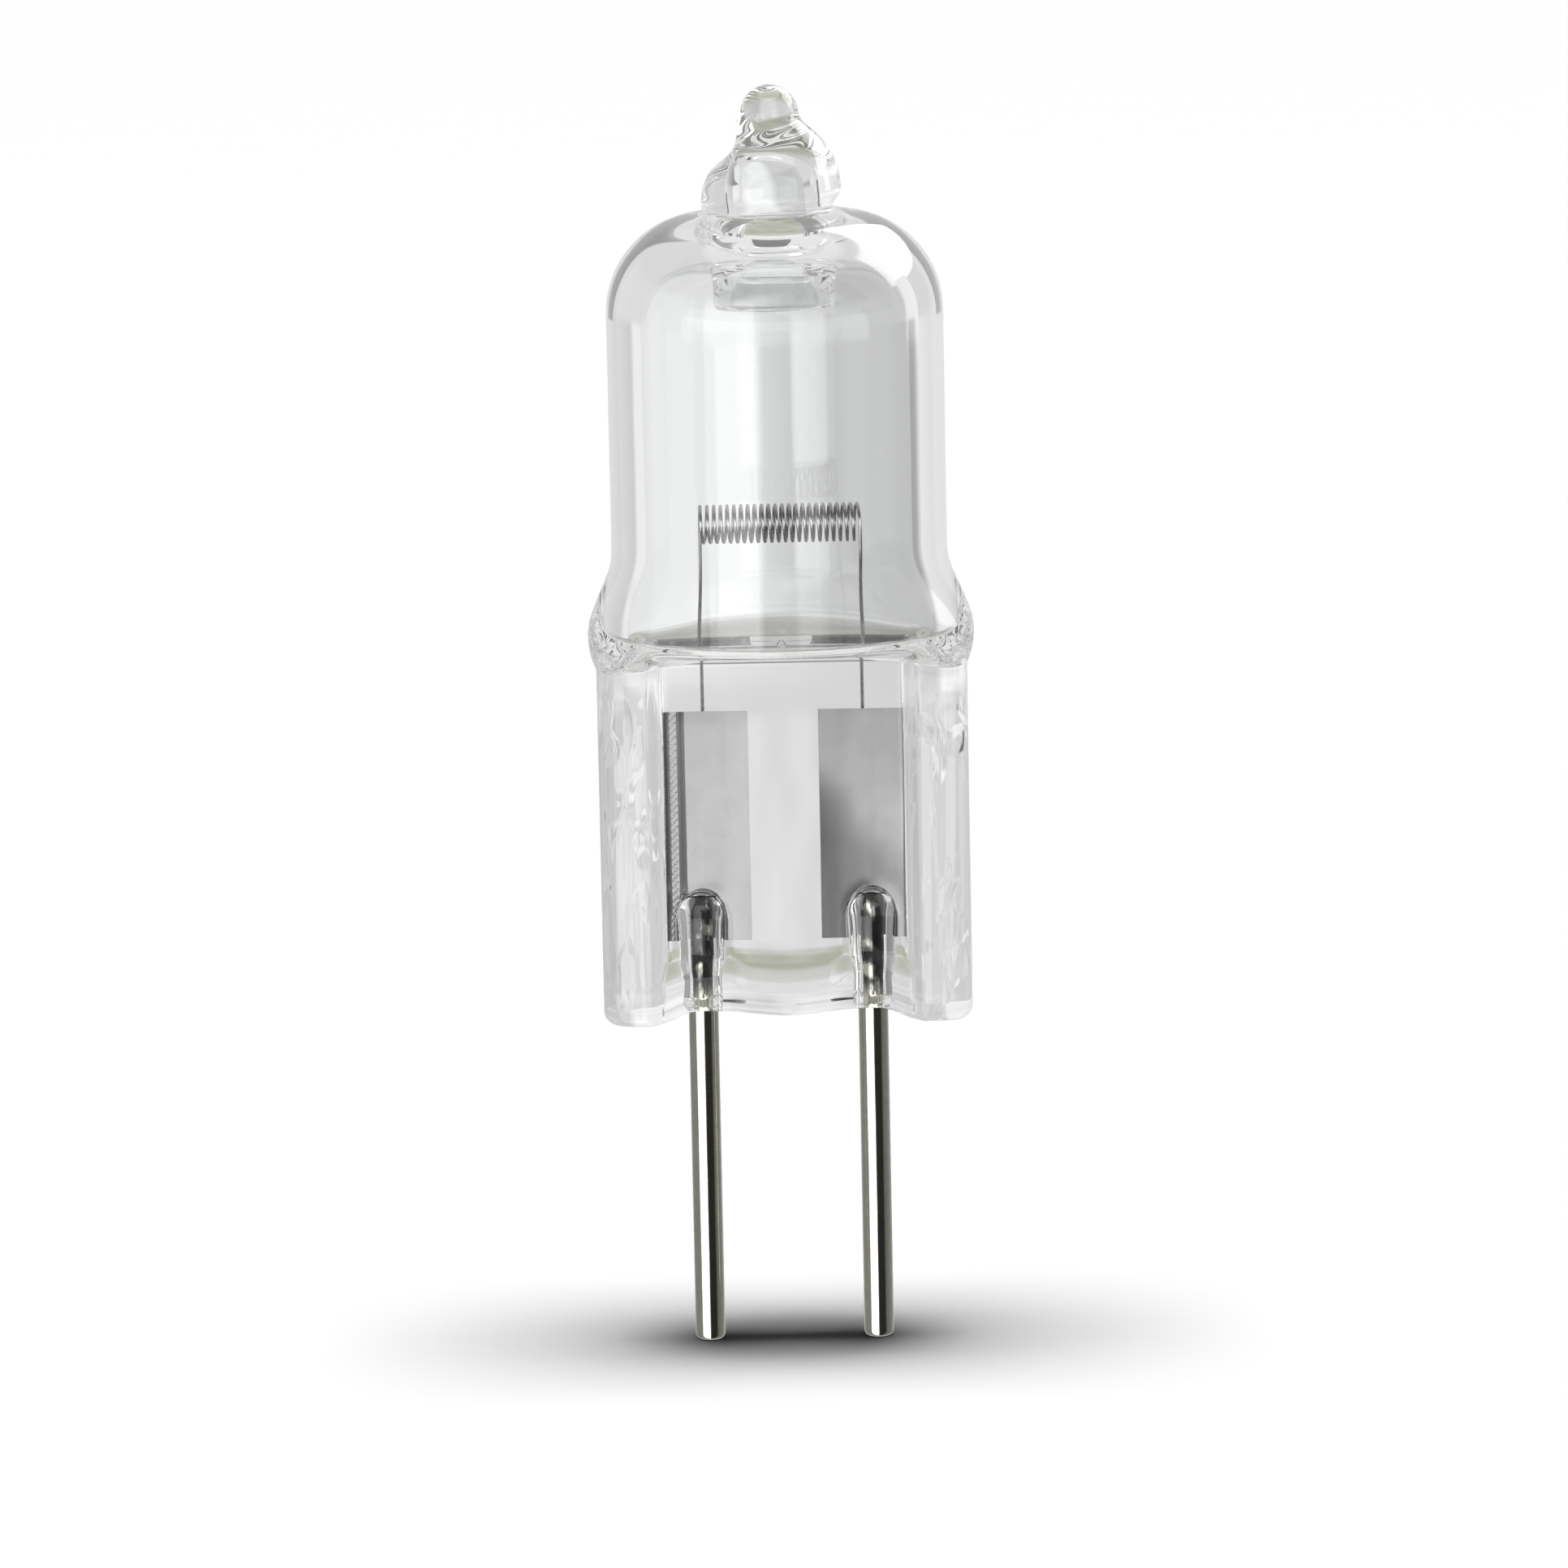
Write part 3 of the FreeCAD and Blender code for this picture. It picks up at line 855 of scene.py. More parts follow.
    def pinch_levels(self) -> list[float]:
        """Levels of the rings that the jaws press, from the foot's middle line to under the widest ring.

        Returns:
            The levels, of which those on the foot are below 0.
        """
        foot = [-2 + step / self.foot_steps for step in range(self.foot_steps)]
        edge = [-1 + step / self.edge_steps for step in range(self.edge_steps)]
        count = round(self.chin / self.pinch_step)
        wall = [self.chin * step / count for step in range(count)]
        shares = [(step / self.chin_steps) ** self.crowding for step in range(self.chin_steps)]
        chin = [between(self.chin, self.widest, share) for share in shares]
        return foot + edge + wall + chin

    def outer_rings(self) -> list[Ring]:
        """Cross-sections of the outside as it is drawn, before the jaws press the pinch.

        Returns:
            The rings from the foot up to the tip.
        """
        rings = [Ring(level, self.shoulder_half, self.shoulder_half) for level in self.pinch_levels()]
        for step in range(self.shoulder_steps + 1):
            level = between(self.widest, self.shoulder_top, step / self.shoulder_steps)
            rings.append(Ring(level, self.tube, self.tube))
        wall_top = self.dome_top - self.dome_round
        for step in range(1, self.tube_steps + 1):
            level = between(self.shoulder_top, wall_top, step / self.tube_steps)
            rings.append(Ring(level, self.tube, self.tube))
        rings += quarter_round(self.tube, wall_top, self.dome_round, self.dome_round, self.dome_steps)
        return rings + self.tip_rings()

    def widen_cavity(self, cavity: Piece) -> None:
        """Widen the sides of the cavity with the shoulders.

        Args:
            cavity: The cavity's surface, with round cross-sections.
        """
        for vertex in cavity.data.vertices:
            across, front, level = vertex.co
            reach = math.hypot(across, front)
            if level < self.shoulder_top and reach > 0:
                share = ease((self.shoulder_top - level) / (self.shoulder_top - self.widest))
                spread = abs(across / reach) ** self.bore_spread
                push = 1 + self.bore_bulge * share * spread * reach / self.bore**2
                vertex.co.x *= push
                vertex.co.y *= push

    def inner_rings(self) -> list[Ring]:
        """Cross-sections of the cavity, from the middle of its floor up to the exhaust tube's bore.

        Returns:
            The rings.
        """
        rings = []
        for share in (self.first_ring, 0.4, 0.75, 1):
            rings.append(Ring(self.floor, self.floor_half * share, self.floor_depth * share))
        for step in range(1, self.floor_steps + 1):
            angle = QUARTER_TURN * step / self.floor_steps
            level = self.floor + self.floor_rise * (1 - math.cos(angle))
            half = between(self.floor_half, self.bore, math.sin(angle))
            depth = between(self.floor_depth, self.bore, math.sin(angle))
            rings.append(Ring(level, half, depth))
        wall_top = self.ceiling - self.ceiling_round
        wall_foot = rings[-1].level
        for step in range(1, self.wall_steps + 1):
            level = between(wall_foot, wall_top, (step / self.wall_steps) ** self.crowding)
            rings.append(Ring(level, self.bore, self.bore))
        turn = self.ceiling_round
        rings += quarter_round(self.bore, wall_top, turn, turn, self.floor_steps)
        lip_foot = self.ceiling - self.stub_drop
        lip_top = lip_foot + self.stub_lip
        for share in (0.0, 0.08, 0.25, 0.5, 0.75, 1.0):
            half = self.stub + self.stub_flare * (1 - share) ** 3
            rings.append(Ring(between(self.ceiling, lip_top, share), half, half))
        for step in range(1, self.lip_steps + 1):
            angle = HALF_TURN * step / self.lip_steps
            half = self.stub - self.stub_lip * (1 - math.cos(angle))
            rings.append(Ring(lip_foot + self.stub_lip * (1 - math.sin(angle)), half, half))
        bore_end = self.bore_top - self.bore_round
        for share in (0.15, 0.4, 1.0):
            half = between(self.stub - 2 * self.stub_lip, self.stub_bore, ease(2 * share))
            rings.append(Ring(between(lip_top, bore_end, share), half, half))
        half = self.stub_bore
        return rings + quarter_round(half, bore_end, half, self.bore_round, self.bore_steps, self.bore_cut)

    def pocket_rings(self, place: float) -> list[Ring]:
        """Cross-sections of the gap round a pin, from the middle of its bottom to its rounded top.

        Args:
            place: The pin's place along X.

        Returns:
            The rings.
        """
        rings = [Ring(self.pocket_bottom, half, half) for half in (self.first_ring, self.pocket_floor)]
        wall_foot = self.pocket_bottom + self.pocket_edge
        wall_top = self.pocket_top - self.pocket
        for step in range(self.lip_steps + 1):
            share = step / self.lip_steps
            half = self.pocket * (1 - self.pocket_waist * math.sin(HALF_TURN * share))
            rings.append(Ring(between(wall_foot, wall_top, share), half, half))
        half = self.pocket
        rings += quarter_round(half, wall_top, half, half, self.pocket_steps, self.pocket_cut)
        return [replace(ring, lean=place) for ring in rings]

    def press_pinch(self, piece: Piece) -> None:
        """Press the lower rings of the drawn tube between the jaws, so that the sides above them bulge.

        Args:
            piece: The outer shell, in edit mode.
        """
        bpy.ops.object.mode_set(mode="OBJECT")
        for vertex in piece.data.vertices:
            angle = math.atan2(vertex.co.y, vertex.co.x)
            level = vertex.co.z
            if level < self.widest - self.tolerance:
                vertex.co = self.pressed(angle, level)
            elif level < self.shoulder_top:
                share = 1 - ease((level - self.widest) / (self.shoulder_top - self.widest))
                vertex.co.x, vertex.co.y = self.bulge(angle, share)
        bpy.ops.object.mode_set(mode="EDIT")

    def close(self, inside: bool) -> None:
        """Merge the doubles of the open shell, turn its faces and leave edit mode.

        Args:
            inside: Whether the faces look into the shell.
        """
        bpy.ops.mesh.select_all(action="SELECT")
        bpy.ops.mesh.remove_doubles(threshold=self.tolerance / 2)
        bpy.ops.mesh.normals_make_consistent(inside=inside)
        bpy.ops.object.mode_set(mode="OBJECT")

    def hollow(self, name: str, rings: list[Ring], sides: int) -> Piece:
        """Model the inner surface of a hollow in the glass, closed at both ends.

        Args:
            name: The hollow's name.
            rings: Its cross-sections, from a small first ring to a small last one.
            sides: Vertices in each ring.

        Returns:
            The surface, facing into the hollow.
        """
        piece = blow(name, rings, sides)
        bpy.ops.mesh.merge(type="CENTER")
        first = rings[0]
        reach = 1.1 * first.half_width
        near = self.tolerance
        select_where(piece, lambda at: abs(at.z - first.level) < near and abs(at.x - first.lean) < reach)
        bpy.ops.mesh.merge(type="CENTER")
        self.close(inside=True)
        return piece

    def build(self) -> Piece:
        """Model the envelope's outside and its hollows as one piece of glass.

        Returns:
            The glass.
        """
        outside = blow("quartz_glass", self.outer_rings(), self.sides)
        bpy.ops.mesh.merge(type="CENTER")
        self.press_pinch(outside)
        self.close(inside=False)
        cavity = self.hollow("cavity", self.inner_rings(), self.inner_sides)
        self.widen_cavity(cavity)
        hollows = [cavity]
        for place in (-self.ridge_place, self.ridge_place):
            hollows.append(self.hollow("pocket", self.pocket_rings(place), self.pocket_sides))
        take_up(outside)
        for hollow in hollows:
            hollow.select_set(True)
        bpy.ops.object.join()
        bpy.ops.object.shade_smooth()
        return outside


@dataclass
class Filament(Part):
    """One tungsten wire: a coil across the capsule, and two legs that run down to the foils."""

    slot: ClassVar[Slot] = Slot.TUNGSTEN
    node: str = "tungsten_filament"
    wire: float = 0.04
    wire_sides: int = 10
    coil: float = 0.425
    turns: float = 23.5
    turn_steps: int = 24
    half_length: float = 1.875
    axis_level: float = 11.7
    leg_plane: float = 0.368
    leg_bottom: float = 6.2
    front_drop: float = 0.5
    bend_bottom: float = 9.25
    bend_steps: int = 8

    def build(self) -> Piece:
        """Wind the coil from one ring of wire, then draw both legs out of its ends.

        Returns:
            The wire.
        """
        clear_bench()
        start = (0, self.coil, 0)
        bpy.ops.mesh.primitive_circle_add(vertices=self.wire_sides, radius=self.wire, location=start)
        piece = start_piece("filament_coil")
        bpy.ops.object.mode_set(mode="OBJECT")
        screw = piece.modifiers.new("winding", "SCREW")
        screw.axis = "X"
        screw.angle = self.turns * FULL_TURN
        screw.screw_offset = 2 * self.half_length
        screw.steps = screw.render_steps = round(self.turns * self.turn_steps)
        screw.use_smooth_shade = True
        bpy.ops.object.modifier_apply(modifier=screw.name)
        bpy.ops.object.mode_set(mode="EDIT")
        bpy.ops.mesh.select_all(action="SELECT")
        centre = self.leg_plane - self.coil
        bpy.ops.transform.translate(value=(-self.half_length, centre, self.axis_level))
        self.draw_leg(piece, -1, [(0.0, self.leg_bottom - self.axis_level)])
        self.draw_leg(piece, 1, self.right_moves(self.leg_plane - centre + self.coil))
        bpy.ops.mesh.select_all(action="SELECT")
        bpy.ops.mesh.normals_make_consistent(inside=False)
        bpy.ops.object.mode_set(mode="OBJECT")
        bpy.ops.object.shade_smooth()
        return piece

    def right_moves(self, back: float) -> Moves:
        """How the right leg runs: down before the coil, back to the foil's plane, then straight down.

        Args:
            back: How far back the leg has to bend.

        Returns:
            How far each stretch runs back and up.
        """
        bends = []
        for step in range(self.bend_steps + 1):
            share = step / self.bend_steps
            level = between(-self.front_drop, self.bend_bottom - self.axis_level, share)
            bends.append((back * ease(share), level))
        moves = [bends[0]]
        moves += [(after[0] - before[0], after[1] - before[1]) for before, after in zip(bends, bends[1:])]
        return moves + [(0.0, self.leg_bottom - self.bend_bottom)]

    def draw_leg(self, piece: Piece, side: int, moves: Moves) -> None:
        """Draw a leg out of one end of the coil, and close its end.

        Args:
            piece: The coil, in edit mode.
            side: -1 for the left end, 1 for the right.
            moves: How far each stretch runs back and up.
        """
        end = side * self.half_length
        height = self.axis_level
        reach = 1.2 * self.wire
        select_where(piece, lambda place: abs(place.x - end) < reach and abs(place.z - height) < reach)
        for back, up in moves:
            bpy.ops.mesh.extrude_edges_move(TRANSFORM_OT_translate={"value": (0, back, up)})
        bpy.ops.mesh.edge_face_add()


@dataclass
class Pin(Part):
    """A round contact pin with a blunt point, and a flat behind its sealed end for its foil."""

    slot: ClassVar[Slot] = Slot.PIN
    name: str
    node: str
    place: float
    radius: float = 0.35
    bottom: float = -7.8
    top: float = 2.9
    point: float = 0.13
    point_steps: int = 4
    flat_bottom: float = 1.6
    flat_plane: float = 0.3
    flat_run: float = 0.02
    sides: int = 72
    tolerance: float = 0.001

    def build(self) -> Piece:
        """Model the pin from a round bar.

        Returns:
            The pin.
        """
        clear_bench()
        middle = (self.top + self.bottom) / 2
        bpy.ops.mesh.primitive_cylinder_add(
            vertices=self.sides, radius=self.radius, depth=self.top - self.bottom, location=(0, 0, middle)
        )
        piece = start_piece(self.name)
        for level, width in ((self.bottom, self.point), (self.top, self.point / 3)):
            select_where(piece, lambda place: abs(place.z - level) < self.tolerance)
            bpy.ops.mesh.bevel(offset=width, segments=self.point_steps, affect="EDGES", profile=0.5)
        for level in (self.flat_bottom - self.flat_run, self.flat_bottom):
            bpy.ops.mesh.select_all(action="SELECT")
            bpy.ops.mesh.bisect(plane_co=(0, 0, level), plane_no=(0, 0, 1))
        bpy.ops.object.mode_set(mode="OBJECT")
        for vertex in piece.data.vertices:
            if vertex.co.z > self.flat_bottom - self.tolerance:
                vertex.co.y = min(vertex.co.y, self.flat_plane)
            vertex.co.x += self.place
        bpy.ops.object.shade_smooth_by_angle(angle=SHARP_EDGE)
        return piece


@dataclass
class Foil(Part):
    """A thin foil sealed in the pinch: a little hollow across, with a crimp along its left edge."""

    slot: ClassVar[Slot] = Slot.FOIL
    name: str
    node: str
    place: float
    lean_top: float
    lean_bottom: float
    crimp: float
    width: float = 2.1
    bottom: float = 1.8
    top: float = 7.25
    plane: float = 0.315
    thickness: float = 0.016
    hollow: float = 1.2
    # Where the lean changes from that of the bottom to that of the top
    turn_level: float = 4.2
    turn_tilt: float = 0.6
    turn_height: float = 2.0
    # The crimp: a fold at the edge, a knurled strip and a second fold
    edge_soft: float = 0.05
    fold_soft: float = 0.06
    first_end: float = 0.2
    knurl_middle: float = 0.33
    knurl_half: float = 0.1
    knurl_pitch: float = 0.165
    second_start: float = 0.42
    second_end: float = 0.56
    columns: int = 70
    rows: int = 200

    def slope(self, across: float, level: float) -> float:
        """How far the foil faces to the right.

        Args:
            across: The place from the foil's left edge.
            level: The level.

        Returns:
            The slope in degrees.
        """
        turn = ease((level - self.turn_level + self.turn_tilt * across) / self.turn_height)
        lean = between(self.lean_bottom, self.lean_top, turn)
        hollow = self.hollow * (1 - 2 * across / self.width)
        first = ease(across / self.edge_soft) - ease((across - self.first_end) / self.fold_soft)
        second = ease((across - self.second_start) / self.fold_soft)
        second -= ease((across - self.second_end) / self.fold_soft)
        side = (across - self.knurl_middle) / self.knurl_half
        wave = math.sin(FULL_TURN * level / self.knurl_pitch)
        return lean + hollow + self.crimp * (first + second + wave * side * ease(1 - abs(side)))

    def profile(self, level: float) -> list[float]:
        """How far back the foil lies at a level, from its middle, where the leg is welded on.

        Args:
            level: The level.

        Returns:
            How far back each column lies.
        """
        step = self.width / self.columns
        depths = [0.0]
        for column in range(self.columns):
            slope = math.radians(self.slope((column + 0.5) * step, level))
            depths.append(depths[-1] + step * math.tan(slope))
        return [depth - depths[self.columns // 2] for depth in depths]

    def build(self) -> Piece:
        """Model the foil from a flat grid.

        Returns:
            The foil.
        """
        clear_bench()
        middle = (self.bottom + self.top) / 2
        bpy.ops.mesh.primitive_grid_add(
            x_subdivisions=self.columns, y_subdivisions=self.rows, size=1, rotation=(QUARTER_TURN, 0, 0)
        )
        piece = start_piece(self.name)
        bpy.ops.transform.resize(value=(self.width, 1, self.top - self.bottom), center_override=ORIGIN)
        bpy.ops.transform.translate(value=(0, 0, middle))
        bpy.ops.object.mode_set(mode="OBJECT")
        profiles = {}
        for vertex in piece.data.vertices:
            level = round(vertex.co.z, 4)
            if level not in profiles:
                profiles[level] = self.profile(level)
            column = round((vertex.co.x / self.width + 0.5) * self.columns)
            vertex.co.y = self.plane + profiles[level][column]
            vertex.co.x += self.place
        skin = piece.modifiers.new("thickness", "SOLIDIFY")
        skin.thickness = self.thickness
        skin.offset = 0
        bpy.ops.object.modifier_apply(modifier=skin.name)
        bpy.ops.object.shade_smooth_by_angle(angle=SHARP_EDGE)
        return piece


@dataclass
class Camera:
    """A long lens a little above the bulb, at the photograph's framing."""

    elevation: float = 9.5
    roll: float = 1.15
    distance: float = 200.0
    frame_width: float = 36.8
    target: Triple = (0.0, 0.0, 5.48)
    sensor: float = 36.0
    nearest: float = 0.01
    farthest: float = 20.0

    def build(self) -> Piece:
        """Add the camera and make it the scene's.

        Returns:
            The camera.
        """
        data = bpy.data.cameras.new("camera")
        camera = bpy.data.objects.new("camera", data)
        bpy.context.scene.collection.objects.link(camera)
        rise = math.radians(self.elevation)
        back = Vector((0, -math.cos(rise), math.sin(rise)))
        camera.location = (Vector(self.target) + back * self.distance) * MM
        aim = (-back).to_track_quat("-Z", "Y").to_matrix()
        roll = Matrix.Rotation(math.radians(-self.roll), 3, "Z")
        camera.rotation_mode = "QUATERNION"
        camera.rotation_quaternion = (aim @ roll).to_quaternion()
        data.sensor_width = self.sensor
        data.lens = self.sensor * self.distance / self.frame_width
        data.clip_start = self.nearest
        data.clip_end = self.farthest
        bpy.context.scene.camera = camera
        return camera


def turn_share(degrees: float) -> float:
    """How far round the tent an angle to the right of the camera is, from 0 to 1."""
    return degrees / 360 + 0.5


@dataclass(frozen=True)
class Lamp:
    """A soft box or card on the tent: ends in degrees, levels as shares of the radius, and its light."""

    start: float
    end: float
    bottom: float
    top: float
    light: float
    soft_turn: float = 0.006
    soft_height: float = 0.04

    def share(self, tree: Tree, turn: Socket, up: Socket) -> Socket:
        """Add nodes that are 1 on the lamp and 0 off it.

        Args:
            tree: The node tree.
            turn: How far round the tent a place is, from 0 to 1.
            up: How high it is, as a share of the tent's radius.

        Returns:
            The lamp's share.
        """
        start = turn_share(self.start)
        end = turn_share(self.end)
        share = range_node(tree, turn, start - self.soft_turn, start)
        for edge in (
            range_node(tree, turn, end + self.soft_turn, end),
            range_node(tree, up, self.bottom - self.soft_height, self.bottom),
            range_node(tree, up, self.top + self.soft_height, self.top),
        ):
            share = math_node(tree, "MULTIPLY", share, edge)
        return share


@dataclass
class LightTent:
    """A round tent of light about the bulb, which only the bulb's gloss and glass see.

    Lights are pairs of degrees to the right of the camera and a brightness. What shows straight through
    the glass is a plain pale sweep. The soft boxes and dark cards show in what the outside reflects, and
    softer inside the glass.
    """

    radius: float = 0.11
    segments: int = 96
    rings: int = 48
    turn_centre: float = 0.005
    brightest: float = 6.0
    # Levels, as shares of the radius
    pin_start: float = -0.055
    pin_full: float = -0.095
    ground_start: float = -0.25
    ground_full: float = -0.45
    ceiling_start: float = 0.45
    ceiling_full: float = 0.6
    overhead_start: float = 0.88
    overhead_full: float = 0.92
    inner_ceiling_start: float = 0.1
    inner_ceiling_full: float = 0.25
    # Brightness of the ground and of what is above
    clear_ceiling: float = 0.6
    clear_overhead: float = 0.9
    clear_ground: Colour = (0.47, 0.475, 0.39)
    outer_overhead: float = 2.4
    inner_least: float = 0.22
    inner_ceiling: float = 0.75
    inner_ground: Colour = (0.22, 0.22, 0.185)
    glass_ground: Colour = (0.68, 0.68, 0.65)
    trapped: Colour = (0.86, 0.86, 0.85)
    # Counts of surfaces that light has met: any, the cavity's walls as well, too many to leave the glass
    any_surface: float = 0.5
    cavity_walls: float = 2.5
    trapped_bounces: float = 2.5
    # The sweep that shows through the glass: pale, with its right side greyer than its left
    clear_lights: Lights = (
        (-180, 0.8), (-177, 0.97), (-150, 0.95), (-120, 0.88), (-95, 0.68), (-60, 0.75), (0, 0.85),
        (60, 0.75), (95, 0.68), (120, 0.7), (150, 0.66), (177, 0.64), (180, 0.8),
    )
    # The sweep that shows through the pinch, with grey cards beside it that draw its edges
    pinch_sweep: Lights = (
        (-180, 0.74), (-171, 0.78), (-165, 0.66), (-140, 0.74), (-110, 0.9), (0, 0.85),
        (110, 0.8), (140, 0.62), (165, 0.56), (171, 0.74), (180, 0.74),
    )
    # The soft boxes and cards that the capsule reflects
    wall_lights: Lights = (
        (-180, 0.75), (-137, 0.6), (-132, 0.9), (-94, 0.9), (-90, 1.5), (-56, 1.5), (-54, 0.4),
        (-48, 0.4), (-46, 3.2), (-14, 3.2), (-12, 0.3), (11, 0.3), (13, 1.7), (30, 1.7), (32, 0.3),
        (90, 0.3), (127, 0.4), (135, 0.9), (180, 0.75),
    )
    # The soft boxes and cards that the pins and the pinch reflect
    pin_lights: Lights = (
        (-180, 0.75), (-130, 0.3), (-60, 0.3), (-57, 2.4), (-2, 2.4), (2, 0.03), (54, 0.03), (62, 0.18),
        (120, 0.3), (180, 0.75),
    )
    # What the outside reflects from above: dark over the camera, greyer behind the bulb
    ceiling_lights: Lights = (
        (-180, 0.45), (-110, 0.4), (-80, 0.12), (80, 0.12), (110, 0.4), (180, 0.45),
    )
    # The lamp over the right shoulder that shines on the dome, and the strip below it
    outer_lamps: tuple[Lamp, ...] = (
        Lamp(92, 162, 0.5, 0.82, 6.0),
        Lamp(98, 110, 0.06, 0.5, 3.0),
    )
    # The box and the dark card over it that the coil reflects, and the card that the cavity's floor does
    inner_lamps: tuple[Lamp, ...] = (
        Lamp(-75, 75, 0.08, 0.42, 2.4),
        Lamp(-85, 85, 0.6, 0.97, 0.12),
        Lamp(173, 182, 0.12, 0.45, 0.2),
        Lamp(-182, -173, 0.12, 0.45, 0.2),
    )

    def shade(self, light: float | Colour) -> Colour:
        """A brightness or a colour as a share of the brightest light."""
        colour = light if isinstance(light, tuple) else grey(light)
        return tuple(value / self.brightest for value in colour)

    def sweep(self, tree: Tree, turn: Socket, lights: Lights, least: float = 0.0) -> Socket:
        """Add a ramp of lights once round the tent.

        Args:
            tree: The node tree.
            turn: How far round the tent a place is.
            lights: The lights in order.
            least: The least brightness.

        Returns:
            Its colour.
        """
        stops = [(turn_share(degrees), self.shade(max(value, least))) for degrees, value in lights]
        return ramp_node(tree, turn, stops)

    def lay(self, tree: Tree, light: Socket, *covers: tuple[Socket, Socket | Colour]) -> Socket:
        """Lay lights over a light, one after another.

        Args:
            tree: The node tree.
            light: The light below.
            covers: Where each light lies over those below it, and its colour.

        Returns:
            The light on top.
        """
        for share, cover in covers:
            light = mix_node(tree, share, light, cover)
        return light

    def material(self) -> Material:
        """Build the tent's light.

        Returns:
            The material.
        """
        material = bpy.data.materials.new("tent_light")
        material.use_nodes = True
        tree = material.node_tree
        tree.nodes.clear()
        place = tree.nodes.new("ShaderNodeTexCoord").outputs["Object"]
        split = tree.nodes.new("ShaderNodeSeparateXYZ")
        tree.links.new(place, split.inputs["Vector"])
        back = math_node(tree, "MULTIPLY_ADD", split.outputs["Y"], -1.0, self.turn_centre)
        turn = math_node(tree, "ARCTAN2", split.outputs["X"], back)
        turn = math_node(tree, "MULTIPLY_ADD", turn, 1 / FULL_TURN, 0.5)
        up = math_node(tree, "DIVIDE", split.outputs["Z"], self.radius)
        high = range_node(tree, up, self.ceiling_start, self.ceiling_full)
        overhead = range_node(tree, up, self.overhead_start, self.overhead_full)
        low = range_node(tree, up, self.pin_start, self.pin_full)
        deep = range_node(tree, up, self.ground_start, self.ground_full)
        path = tree.nodes.new("ShaderNodeLightPath")
        crossings = path.outputs["Transmission Depth"]
        bounces = path.outputs["Glossy Depth"]

        clear = self.lay(
            tree,
            self.sweep(tree, turn, self.clear_lights),
            (low, self.sweep(tree, turn, self.pinch_sweep)),
            (deep, self.shade(self.clear_ground)),
            (high, self.shade(self.clear_ceiling)),
            (overhead, self.shade(self.clear_overhead)),
        )
        outer = self.lay(
            tree,
            self.sweep(tree, turn, self.wall_lights),
            (low, self.sweep(tree, turn, self.pin_lights)),
            (high, self.sweep(tree, turn, self.ceiling_lights)),
            (overhead, self.shade(self.outer_overhead)),
            *[(lamp.share(tree, turn, up), self.shade(lamp.light)) for lamp in self.outer_lamps],
        )
        ceiling = range_node(tree, up, self.inner_ceiling_start, self.inner_ceiling_full)
        within = math_node(tree, "GREATER_THAN", crossings, self.cavity_walls)
        ground = mix_node(tree, within, self.shade(self.glass_ground), self.shade(self.inner_ground))
        inner = self.lay(
            tree,
            self.sweep(tree, turn, self.wall_lights, self.inner_least),
            (low, self.sweep(tree, turn, self.pin_lights, self.inner_least)),
            (ceiling, self.shade(self.inner_ceiling)),
            (deep, ground),
            *[(lamp.share(tree, turn, up), self.shade(lamp.light)) for lamp in self.inner_lamps],
        )

        caught = math_node(tree, "GREATER_THAN", bounces, self.trapped_bounces)
        reflected = math_node(tree, "GREATER_THAN", bounces, self.any_surface)
        through = math_node(tree, "GREATER_THAN", crossings, self.any_surface)
        gloss = mix_node(tree, through, outer, mix_node(tree, caught, inner, self.shade(self.trapped)))
        light = tree.nodes.new("ShaderNodeEmission")
        light.inputs["Strength"].default_value = self.brightest
        tree.links.new(mix_node(tree, reflected, clear, gloss), light.inputs["Color"])
        out = tree.nodes.new("ShaderNodeOutputMaterial")
        tree.links.new(light.outputs["Emission"], out.inputs["Surface"])
        return material

    def build(self) -> Piece:
        """Model the tent from a sphere.

        Returns:
            The tent.
        """
        clear_bench()
        bpy.ops.mesh.primitive_uv_sphere_add(
            segments=self.segments, ring_count=self.rings, radius=self.radius
        )
        tent = bpy.context.object
        tent.name = "light_tent"
        tent.data.materials.append(self.material())
        tent.visible_camera = tent.visible_diffuse = tent.visible_shadow = False
        return tent


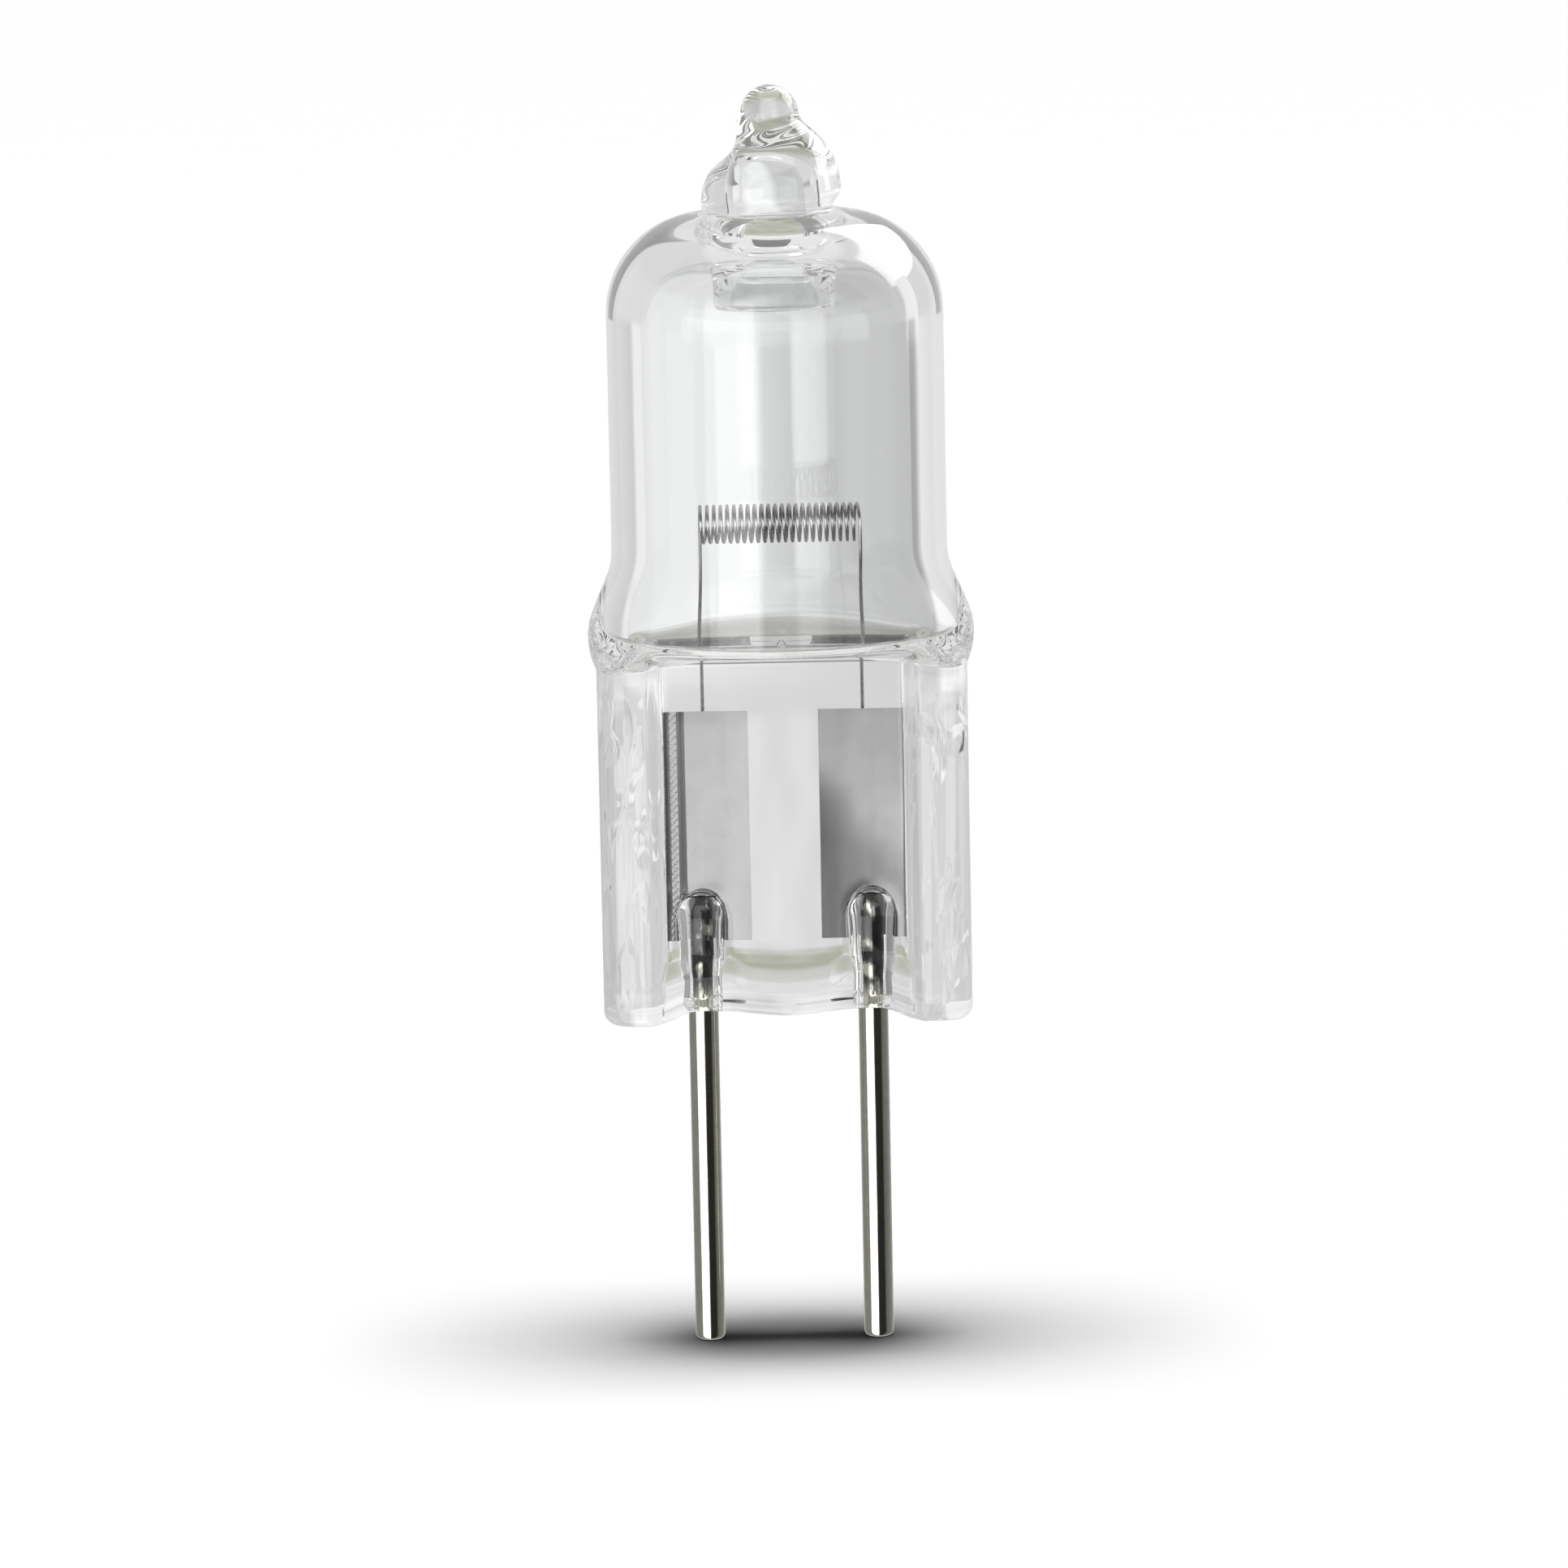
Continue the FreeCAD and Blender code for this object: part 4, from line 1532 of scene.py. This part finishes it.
@dataclass
class Studio:
    """A white floor under one soft overhead light, with the tent that the bulb's gloss and glass see."""

    floor_level: float = -7.8
    floor_half: float = 6.0
    floor_white: float = 0.9
    light_height: float = 4.0
    light_power: float = 184.0
    light_width: float = 2.45
    light_depth: float = 0.98
    ambient: float = 0.04
    bounces: int = 64

    def build(self) -> None:
        """Add the floor, the light, the tent and the backdrop's white."""
        self.add_floor()
        self.add_light()
        LightTent().build()
        self.add_world()
        scene = bpy.context.scene
        scene.view_settings.view_transform = "Standard"
        scene.cycles.max_bounces = self.bounces
        scene.cycles.transmission_bounces = self.bounces
        scene.cycles.glossy_bounces = self.bounces
        scene.cycles.caustics_reflective = False
        scene.cycles.caustics_refractive = False
        scene.cycles.use_denoising = True

    def add_floor(self) -> None:
        """Add the plain white floor."""
        clear_bench()
        bpy.ops.mesh.primitive_plane_add(size=2 * self.floor_half, location=(0, 0, self.floor_level * MM))
        floor = bpy.context.object
        floor.name = "floor"
        material, _, shader, _ = new_material("white_floor")
        shader.inputs["Base Color"].default_value = (*grey(self.floor_white), 1)
        shader.inputs["Roughness"].default_value = 1.0
        shader.inputs["Specular IOR Level"].default_value = 0.0
        floor.data.materials.append(material)
        floor.visible_glossy = floor.visible_transmission = False

    def add_light(self) -> None:
        """Add the soft overhead light."""
        data = bpy.data.lights.new("overhead", "AREA")
        data.shape = "RECTANGLE"
        data.size = self.light_width
        data.size_y = self.light_depth
        data.energy = self.light_power
        light = bpy.data.objects.new("overhead", data)
        light.location = (0, 0, self.light_height)
        bpy.context.scene.collection.objects.link(light)

    def add_world(self) -> None:
        """Make the backdrop white, with little light of its own."""
        world = bpy.data.worlds.new("backdrop")
        bpy.context.scene.world = world
        world.use_nodes = True
        tree = world.node_tree
        background = tree.nodes["Background"]
        background.inputs["Color"].default_value = (1, 1, 1, 1)
        seen = tree.nodes.new("ShaderNodeLightPath").outputs["Is Camera Ray"]
        strength = math_node(tree, "MULTIPLY_ADD", seen, 1.0 - self.ambient, self.ambient)
        tree.links.new(strength, background.inputs["Strength"])


def main() -> None:
    """Build the pieces in order, dress them and set the stage."""
    logging.basicConfig(level=logging.INFO, format="%(name)s: %(message)s")
    Camera().build()
    grain = grain_group()
    envelope = Envelope()
    envelope.dress(envelope.build(), QuartzFinish().material())
    filament = Filament()
    filament.dress(filament.build(), TUNGSTEN.material(grain))
    pin_finish = PIN.material(grain)
    for pin in (Pin("left_pin_wire", "left_pin", -2.0), Pin("right_pin_wire", "right_pin", 2.0)):
        pin.dress(pin.build(), pin_finish)
    foil_finish = FOIL.material(grain)
    left_foil = Foil("left_foil_strip", "left_foil", -1.875, lean_top=-3.4, lean_bottom=-3.0, crimp=16.0)
    right_foil = Foil("right_foil_strip", "right_foil", 1.875, lean_top=-2.6, lean_bottom=-0.4, crimp=0.0)
    for foil in (left_foil, right_foil):
        foil.dress(foil.build(), foil_finish)
    Studio().build()


if __name__ == "__main__":
    main()
